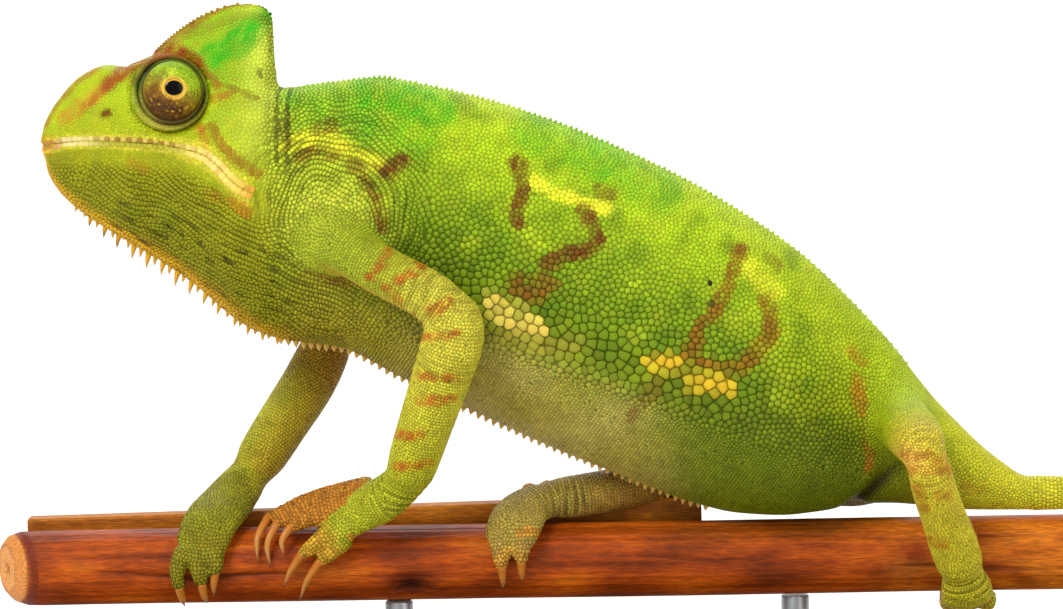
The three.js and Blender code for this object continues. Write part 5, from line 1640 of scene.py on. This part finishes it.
# Horn, worn smooth by walking: a low polish along fibres 0.5 mm apart.
HORN_FIBRE_MM = 0.5
horn, out, tint, place = painted_material("claw_horn")
streak = add_node(horn, "ShaderNodeTexNoise", {"Vector": (place, "Object")},
                  Scale=1 / (HORN_FIBRE_MM * MM), Detail=3.0)
bump = add_node(horn, "ShaderNodeBump", {"Height": (streak, "Fac")}, Strength=0.2, Distance=0.0001)
horn_shader = add_node(horn, "ShaderNodeBsdfPrincipled",
                       {"Base Color": (tint, "Color"), "Normal": (bump, "Normal")},
                       Roughness=0.32, Specular_IOR_Level=0.3)
horn.node_tree.links.new(horn_shader.outputs[0], out.inputs[0])
for foot_name in ("left_hand", "right_hand", "left_foot", "right_foot"):
    shapes, nodes = [], []
    for bundle in ("inner", "outer"):
        for number, toe in enumerate(TOES[f"{foot_name}_{bundle}"]):
            end, bend, tip = (np.array(place, float) for place in toe[2:])
            start = end - (bend - end) / np.linalg.norm(bend - end) * CLAW_ROOT
            knots = [(*start, CLAW_RADII[0]), (*bend, CLAW_RADII[1]), (*tip, CLAW_RADII[2])]
            shapes.append(rod_rings(knots, -0.04, CLAW_AROUND, TOE_UP, rounded=False, rows=CLAW_ROWS))
            nodes.append(f"{foot_name}_{bundle}_claw_{number + 1}")
    claws = mesh_object(f"claws_{foot_name}", *joined_lofts(shapes))
    share = np.concatenate([np.repeat(np.linspace(0, 1, CLAW_ROWS), CLAW_AROUND), [0, 1]])
    give_colour(claws, "tint", np.tile(stops(CLAW_STOPS, share), (len(shapes), 1)))
    claws.data.materials.append(horn)
    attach(claws, "root")
    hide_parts(*nodes)

# ---- Perch ----
# A cut length of dead stick with its bark gone: orange-brown wood grooved lengthways, with a long drying
# crack, a dark knot, and a pale sawn end worn round at its edge.
PERCH_RADIUS = 7.2
PERCH_X = (-129.0, 84.0)
PERCH_AROUND = 132
CUT_FACE_RINGS = (0.12, 0.3, 0.5, 0.68, 0.84, 0.95)
FAR_FACE_RINGS = (0.9, 0.6, 0.3)
PERCH_SIZES = [(-129, 0.66), (-127.8, 0.86), (-125.6, 0.97), (-122, 0.985), (83.4, 0.985), (84, 0.94)]
END_SKEW = 0.45
# The knot's place along the stick, angle round it, half length in mm and half angle.
KNOT = (-53.5, 2.05, 6.5, 0.62)
# Drying cracks: from, to, angle round the stick and depth in mm.
CRACKS = [
    (-118, -66, 1.6, 0.8), (-44, 20, 1.35, 0.35), (30, 84, 1.75, 0.4), (-122, -84, 1.2, 0.3),
    (-100, 60, 5.6, 0.6), (-20, 84, 4.6, 0.5), (-120, 10, 3.9, 0.5), (10, 70, 0.85, 0.3),
]


def long_ripple(x, angle, waves, seed):
    """Lengthways figure of the wood: cosines round the stick whose phases wander slowly along it."""
    lot = np.random.default_rng(seed)
    field = np.zeros(np.broadcast(x, angle).shape)
    for wave in waves:
        phase = lot.uniform(0, 2 * math.pi) + 1.4 * np.sin(x / lot.uniform(16, 50) + lot.uniform(0, 6))
        field += np.cos(wave * angle + phase) / len(waves)
    return field


def wood_streaks(material, grain_mm, stretch):
    """Fine fibres: noise on Object coordinates, drawn out along X by the stretch."""
    place = add_node(material, "ShaderNodeTexCoord")
    drawn = add_node(material, "ShaderNodeMapping", {"Vector": (place, "Object")}, Scale=(1 / stretch, 1, 1))
    return add_node(material, "ShaderNodeTexNoise", {"Vector": (drawn, "Vector")},
                    Scale=1 / (grain_mm * MM), Detail=4.0)


perch_x = np.concatenate([np.linspace(-129, -121, 18), np.linspace(-120.4, 83.4, 300), [83.8, 84]])[:, None]
perch_turn = full_turn(PERCH_AROUND)[None]
sizes = np.array(PERCH_SIZES)
swell = PERCH_RADIUS * np.interp(perch_x, sizes[:, 0], sizes[:, 1])
on_side = step(perch_x, -129, -124) * (1 - step(perch_x, 82.5, 84))
figure = long_ripple(perch_x, perch_turn, (7, 11, 17, 26), 3)
sunk = 0.1 * (1 - figure) + 0.07 * (1 - long_ripple(perch_x, perch_turn, (31, 43), 4))
crack_shade = np.zeros_like(figure)
for start, stop, at, deep in CRACKS:
    wander = at + 0.08 * np.sin(perch_x / 13 + at * 5) + 0.04 * np.sin(perch_x / 5.1 + at)
    open_by = step(perch_x, start, start + 12) * (1 - step(perch_x, stop - 12, stop))
    open_by *= 0.7 + 0.3 * np.sin(perch_x / 7 + at)
    gash = open_by * bell((perch_turn - wander) * PERCH_RADIUS, 0.28 + 0.25 * deep)
    sunk += deep * gash
    # Cracks take painted shade, darker the deeper they are.
    crack_shade = np.maximum(crack_shade, gash * min(1, 0.45 + 0.5 * deep))
knot_off = np.hypot((perch_x - KNOT[0]) / KNOT[2], (perch_turn - KNOT[1]) / KNOT[3])
sunk += 0.7 * bell(knot_off, 0.45) - 0.22 * bell(knot_off - 0.85, 0.2)
radius = swell - np.maximum(0.0, sunk) * (0.15 + 0.85 * on_side)
lean = END_SKEW * swell * np.sin(perch_turn) * (1 - step(perch_x, -125.6, -122))
stick = np.stack([perch_x + lean, -radius * np.sin(perch_turn), radius * np.cos(perch_turn)], -1)
cut_face = []
for outward in CUT_FACE_RINGS:
    ring = stick[0] * outward + np.array([PERCH_X[0], 0, 0]) * (1 - outward)
    ring[:, 0] += 0.35 * (1 - outward) ** 2 + 0.12 * np.cos(perch_turn[0] * 5 + outward * 9)
    cut_face.append(ring)
far_face = [
    stick[-1] * outward + np.array([PERCH_X[1], 0, 0]) * (1 - outward) for outward in FAR_FACE_RINGS
]
perch = mesh_object("perch_stick", *closed_loft(np.concatenate([cut_face, stick, far_face])))
at_x, at_turn = (grid.ravel() for grid in np.broadcast_arrays(perch_x, perch_turn))
WOOD_STOPS = ((-1, "#702a00"), (-0.4, "#8c3600"), (0, "#a04000"), (0.5, "#b44e02"), (1, "#c8640a"))
stick_points = stick.reshape(-1, 3)
figure, knot_off = figure.ravel(), knot_off.ravel()
blotches = ripple(stick_points * (0.35, 1, 1), 9, 71)
flecks = ripple(stick_points * (0.2, 1, 1), 2.5, 72)
mottling = ripple(stick_points * (0.5, 1, 1), 6, 73)
# The stick's top is lighter: a painted highlight where the light falls on it.
painted_top_highlight = bell(at_turn - 0.35, 0.5) + bell(at_turn - 2 * math.pi - 0.35, 0.5)
wood_tone = blend_in(
    stops(WOOD_STOPS, figure * 0.45 + 0.75 * blotches + 0.3 * flecks),
    # A painted highlight along the stick's top.
    ("#d47a24", 0.6 * painted_top_highlight * step(at_x, -40, 30) * (0.7 + 0.3 * figure)),
    ("#e07c18", 0.8 * step(at_x, 24, 50) * np.clip(0.6 + 0.9 * mottling, 0, 1)),
    ("#5e1c04", 0.75 * bell(knot_off, 0.9)),
    ("#240a02", 0.9 * bell(knot_off, 0.5)),
    # Painted shade in the cracks.
    ("#2c0c02", crack_shade.ravel()),
    ("#86360c", 0.6 * (1 - step(at_x, -124, -117))),
    ("#6a2206", 0.8 * bell(at_x + 126.2, 0.9)),
    ("#d88c44", 0.95 * (1 - step(at_x, -127.6, -127))),
)
END_STOPS = ((0, "#b0642a"), (0.25, "#d98f45"), (0.8, "#e69b4c"), (1, "#a8531a"))
end_tone = [
    stops(END_STOPS, np.full(PERCH_AROUND, outward))
    * (1 + 0.1 * np.cos(perch_turn[0] * 7 + outward * 20))[:, None]
    for outward in CUT_FACE_RINGS
]
far_tone = one_colour("#b06a2c", len(FAR_FACE_RINGS) * PERCH_AROUND)
wood_tone = np.concatenate([*end_tone, wood_tone, far_tone, one_colour("#8c4a1c", 2)])
give_colour(perch, "tint", wood_tone)
# Bare dead wood, hand-worn: dull with a faint sheen, fibres along the stick 0.3 mm apart.
dead_wood, out = new_material("weathered_bare_wood")
tint = add_node(dead_wood, "ShaderNodeAttribute", attribute_name="tint")
fibres = wood_streaks(dead_wood, 0.3, 8)
shade = add_node(dead_wood, "ShaderNodeMapRange", {"Value": (fibres, "Fac")},
                 From_Min=0.36, From_Max=0.64, To_Min=0.66, To_Max=1.2)
toned = add_node(dead_wood, "ShaderNodeVectorMath", {0: (tint, "Color"), 1: (shade, "Result")},
                 operation="MULTIPLY")
bump = add_node(dead_wood, "ShaderNodeBump", {"Height": (fibres, "Fac")}, Strength=0.5, Distance=0.0002)
wood_shader = add_node(dead_wood, "ShaderNodeBsdfPrincipled",
                       {"Base Color": (toned, "Vector"), "Normal": (bump, "Normal")}, Roughness=0.5,
                       Specular_IOR_Level=0.16)
dead_wood.node_tree.links.new(wood_shader.outputs[0], out.inputs[0])
perch.data.materials.append(dead_wood)
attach(perch, "root")
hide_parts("perch")

# ---- Lath ----
# A flat strip of the same dead wood, split and a little paler, with rounded arrises. It lies along the far
# side of the stick, hollowed there to fit it.
LATH = {"x": (-125.6, 1.0), "y": (5.6, 10.2), "z": (-5.5, 9.4), "tilt": 0.018}
lath_turn = full_turn(72)[None]
lath_x = np.concatenate([[-125.6, -125.5, -125.2], np.linspace(-124.6, 0, 110), [0.6, 0.9, 1.0]])[:, None]
half_y, half_z = ((LATH[axis][1] - LATH[axis][0]) / 2 for axis in ("y", "z"))
squareness = (np.abs(np.cos(lath_turn)) ** 9 + np.abs(np.sin(lath_turn)) ** 9) ** (-1 / 9)
end_round = 0.35 * (1 - step(lath_x, -125.6, -125.1)) + 0.35 * step(lath_x, 0.5, 1.0)
lath_figure = long_ripple(lath_x, lath_turn, (5, 9, 15, 22), 8)
depth = 0.1 * (1 - lath_figure) + end_round
lath_y = (half_y - depth) * squareness * np.sin(lath_turn)
lath_z = (half_z - depth) * squareness * np.cos(lath_turn)
tilt_x = lath_x - sum(LATH["x"]) / 2
lath_rings = np.stack([
    sum(LATH["x"]) / 2 + tilt_x * math.cos(LATH["tilt"]) - lath_z * math.sin(LATH["tilt"]),
    sum(LATH["y"]) / 2 + lath_y,
    sum(LATH["z"]) / 2 + tilt_x * math.sin(LATH["tilt"]) + lath_z * math.cos(LATH["tilt"]),
], -1)
beside_stick = np.sqrt(np.maximum(0, (PERCH_RADIUS + 0.2) ** 2 - lath_rings[..., 2] ** 2))
lath_rings[..., 1] = np.maximum(lath_rings[..., 1], beside_stick)
lath = mesh_object("perch_lath_strip", *closed_loft(lath_rings))
LATH_STOPS = ((-1, "#94500c"), (-0.3, "#a86010"), (0.2, "#b86e14"), (1, "#cc8424"))
lath_tone = stops(LATH_STOPS, lath_figure.ravel() * 0.9)
give_colour(lath, "tint", np.concatenate([lath_tone, one_colour("#c07a34", 2)]))
lath.data.materials.append(dead_wood)
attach(lath, "root")
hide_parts("perch_lath")

# ---- Stand ----
# Two short steel rods, their tops hollowed to seat the stick, are let into a flat base of dark oiled
# hardwood. The base is planed and its edge moulded; the rods are turned.
ROD_RADIUS = 2.6
ROD_X = {"front": -56.0, "rear": 18.0}
ROD_FOOT = -39.7
SADDLE_RADIUS = 7.5
# Brushed steel, turned on a lathe: rings of fine scratches 0.2 mm apart give a soft, drawn-out shine.
SCRATCH_MM = 0.2
steel, out = new_material("brushed_steel")
place = add_node(steel, "ShaderNodeTexCoord")
drawn = add_node(steel, "ShaderNodeMapping", {"Vector": (place, "Object")}, Scale=(0.06, 0.06, 1))
scratch = add_node(steel, "ShaderNodeTexNoise", {"Vector": (drawn, "Vector")},
                   Scale=1 / (SCRATCH_MM * MM), Detail=3.0)
rough = add_node(steel, "ShaderNodeMapRange", {"Value": (scratch, "Fac")}, To_Min=0.24, To_Max=0.46)
bump = add_node(steel, "ShaderNodeBump", {"Height": (scratch, "Fac")}, Strength=0.2, Distance=0.00003)
steel_shader = add_node(steel, "ShaderNodeBsdfPrincipled",
                        {"Roughness": (rough, "Result"), "Normal": (bump, "Normal")},
                        Base_Color=(*linear("#a4a5a7"), 1), Metallic=1.0)
steel.node_tree.links.new(steel_shader.outputs[0], out.inputs[0])
# From the foot up: height over the foot in mm and share of the radius, with a turned groove above the base.
ROD_PROFILE = [(0, 0.3), (0, 0.8), (0, 0.92), (0.2, 1.0), (1.4, 1.0), (1.6, 0.95), (1.9, 0.95), (2.1, 1.0)]
SADDLE_RINGS = (1.0, 0.97, 0.9, 0.5, 0.2)
rod_turn = full_turn(48)
across, sideways = np.cos(rod_turn), np.sin(rod_turn)
for word, rod_x in ROD_X.items():
    rings = []
    for rise, size in ROD_PROFILE:
        wide = ROD_RADIUS * size
        rings.append(np.column_stack([rod_x + wide * across, wide * sideways, ROD_FOOT + rise + 0 * across]))
    for size in SADDLE_RINGS:
        wide = ROD_RADIUS * size
        saddle = -np.sqrt(SADDLE_RADIUS ** 2 - (wide * sideways) ** 2) - (0.15 if size == 1 else 0)
        rings.append(np.column_stack([rod_x + wide * across, wide * sideways, saddle]))
    points, quads, triangles = closed_loft(np.array(rings))
    rod = mesh_object(f"stand_rod_{word}_turned", points, quads[:, ::-1], triangles[:, ::-1])
    rod.data.materials.append(steel)
    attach(rod, "root")
    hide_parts(f"stand_rod_{word}")

BASE = {"length": 264.0, "width": 100.0, "corner": 10.0}
# How far the side is drawn in at each height above the floor: a rounded arris below and a moulded one
# above.
BASE_PROFILE = [
    (1.3, 0), (0.4, 0.25), (0.05, 0.9), (0, 1.4), (0, 6.2), (0.15, 7.0), (0.6, 7.7), (1.3, 8),
    (2.6, 8), (3.0, 7.75), (3.4, 8), (12, 8), (24, 8), (38, 8),
]
base_turn = full_turn(160)


def base_ring(inset, high):
    """A rounded rectangle, drawn in: four quarter circles of the corner's radius, joined by straight
    sides."""
    reach = np.array([BASE["length"], BASE["width"]]) / 2 - BASE["corner"]
    corner_radius = max(0.5, BASE["corner"] - inset)
    held = np.maximum(0, reach - max(0, inset - BASE["corner"] + 0.5))
    quarter = np.column_stack([np.cos(base_turn), np.sin(base_turn)])
    ring = np.sign(np.round(quarter, 6)) * held + quarter * corner_radius
    return np.column_stack([ring, np.full(len(ring), high)]) - ANIMAL_AT


points, quads, triangles = closed_loft(np.array([base_ring(inset, high) for inset, high in BASE_PROFILE]))
stand_base = mesh_object("stand_base_board", points, quads[:, ::-1], triangles[:, ::-1], smooth=False)
# Dark oiled hardwood, planed and waxed: brown-black, with a lengthways figure 6 mm apart and fine open
# pores.
hardwood, out = new_material("dark_oiled_hardwood")
figure_node = wood_streaks(hardwood, 6, 9)
pores = wood_streaks(hardwood, 0.4, 22)
grain_colour = add_node(hardwood, "ShaderNodeMix", {"Factor": (figure_node, "Fac")}, data_type="RGBA")
grain_colour.inputs[6].default_value = (*linear("#22140c"), 1)
grain_colour.inputs[7].default_value = (*linear("#5a3c28"), 1)
shade = add_node(hardwood, "ShaderNodeMapRange", {"Value": (pores, "Fac")},
                 From_Min=0.35, From_Max=0.6, To_Min=0.6, To_Max=1.1)
toned = add_node(hardwood, "ShaderNodeVectorMath", {0: (grain_colour, 2), 1: (shade, "Result")},
                 operation="MULTIPLY")
bump = add_node(hardwood, "ShaderNodeBump", {"Height": (pores, "Fac")}, Strength=0.3, Distance=0.0001)
base_shader = add_node(hardwood, "ShaderNodeBsdfPrincipled",
                       {"Base Color": (toned, "Vector"), "Normal": (bump, "Normal")},
                       Roughness=0.38)
hardwood.node_tree.links.new(base_shader.outputs[0], out.inputs[0])
stand_base.data.materials.append(hardwood)
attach(stand_base, "root")
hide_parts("stand_base")
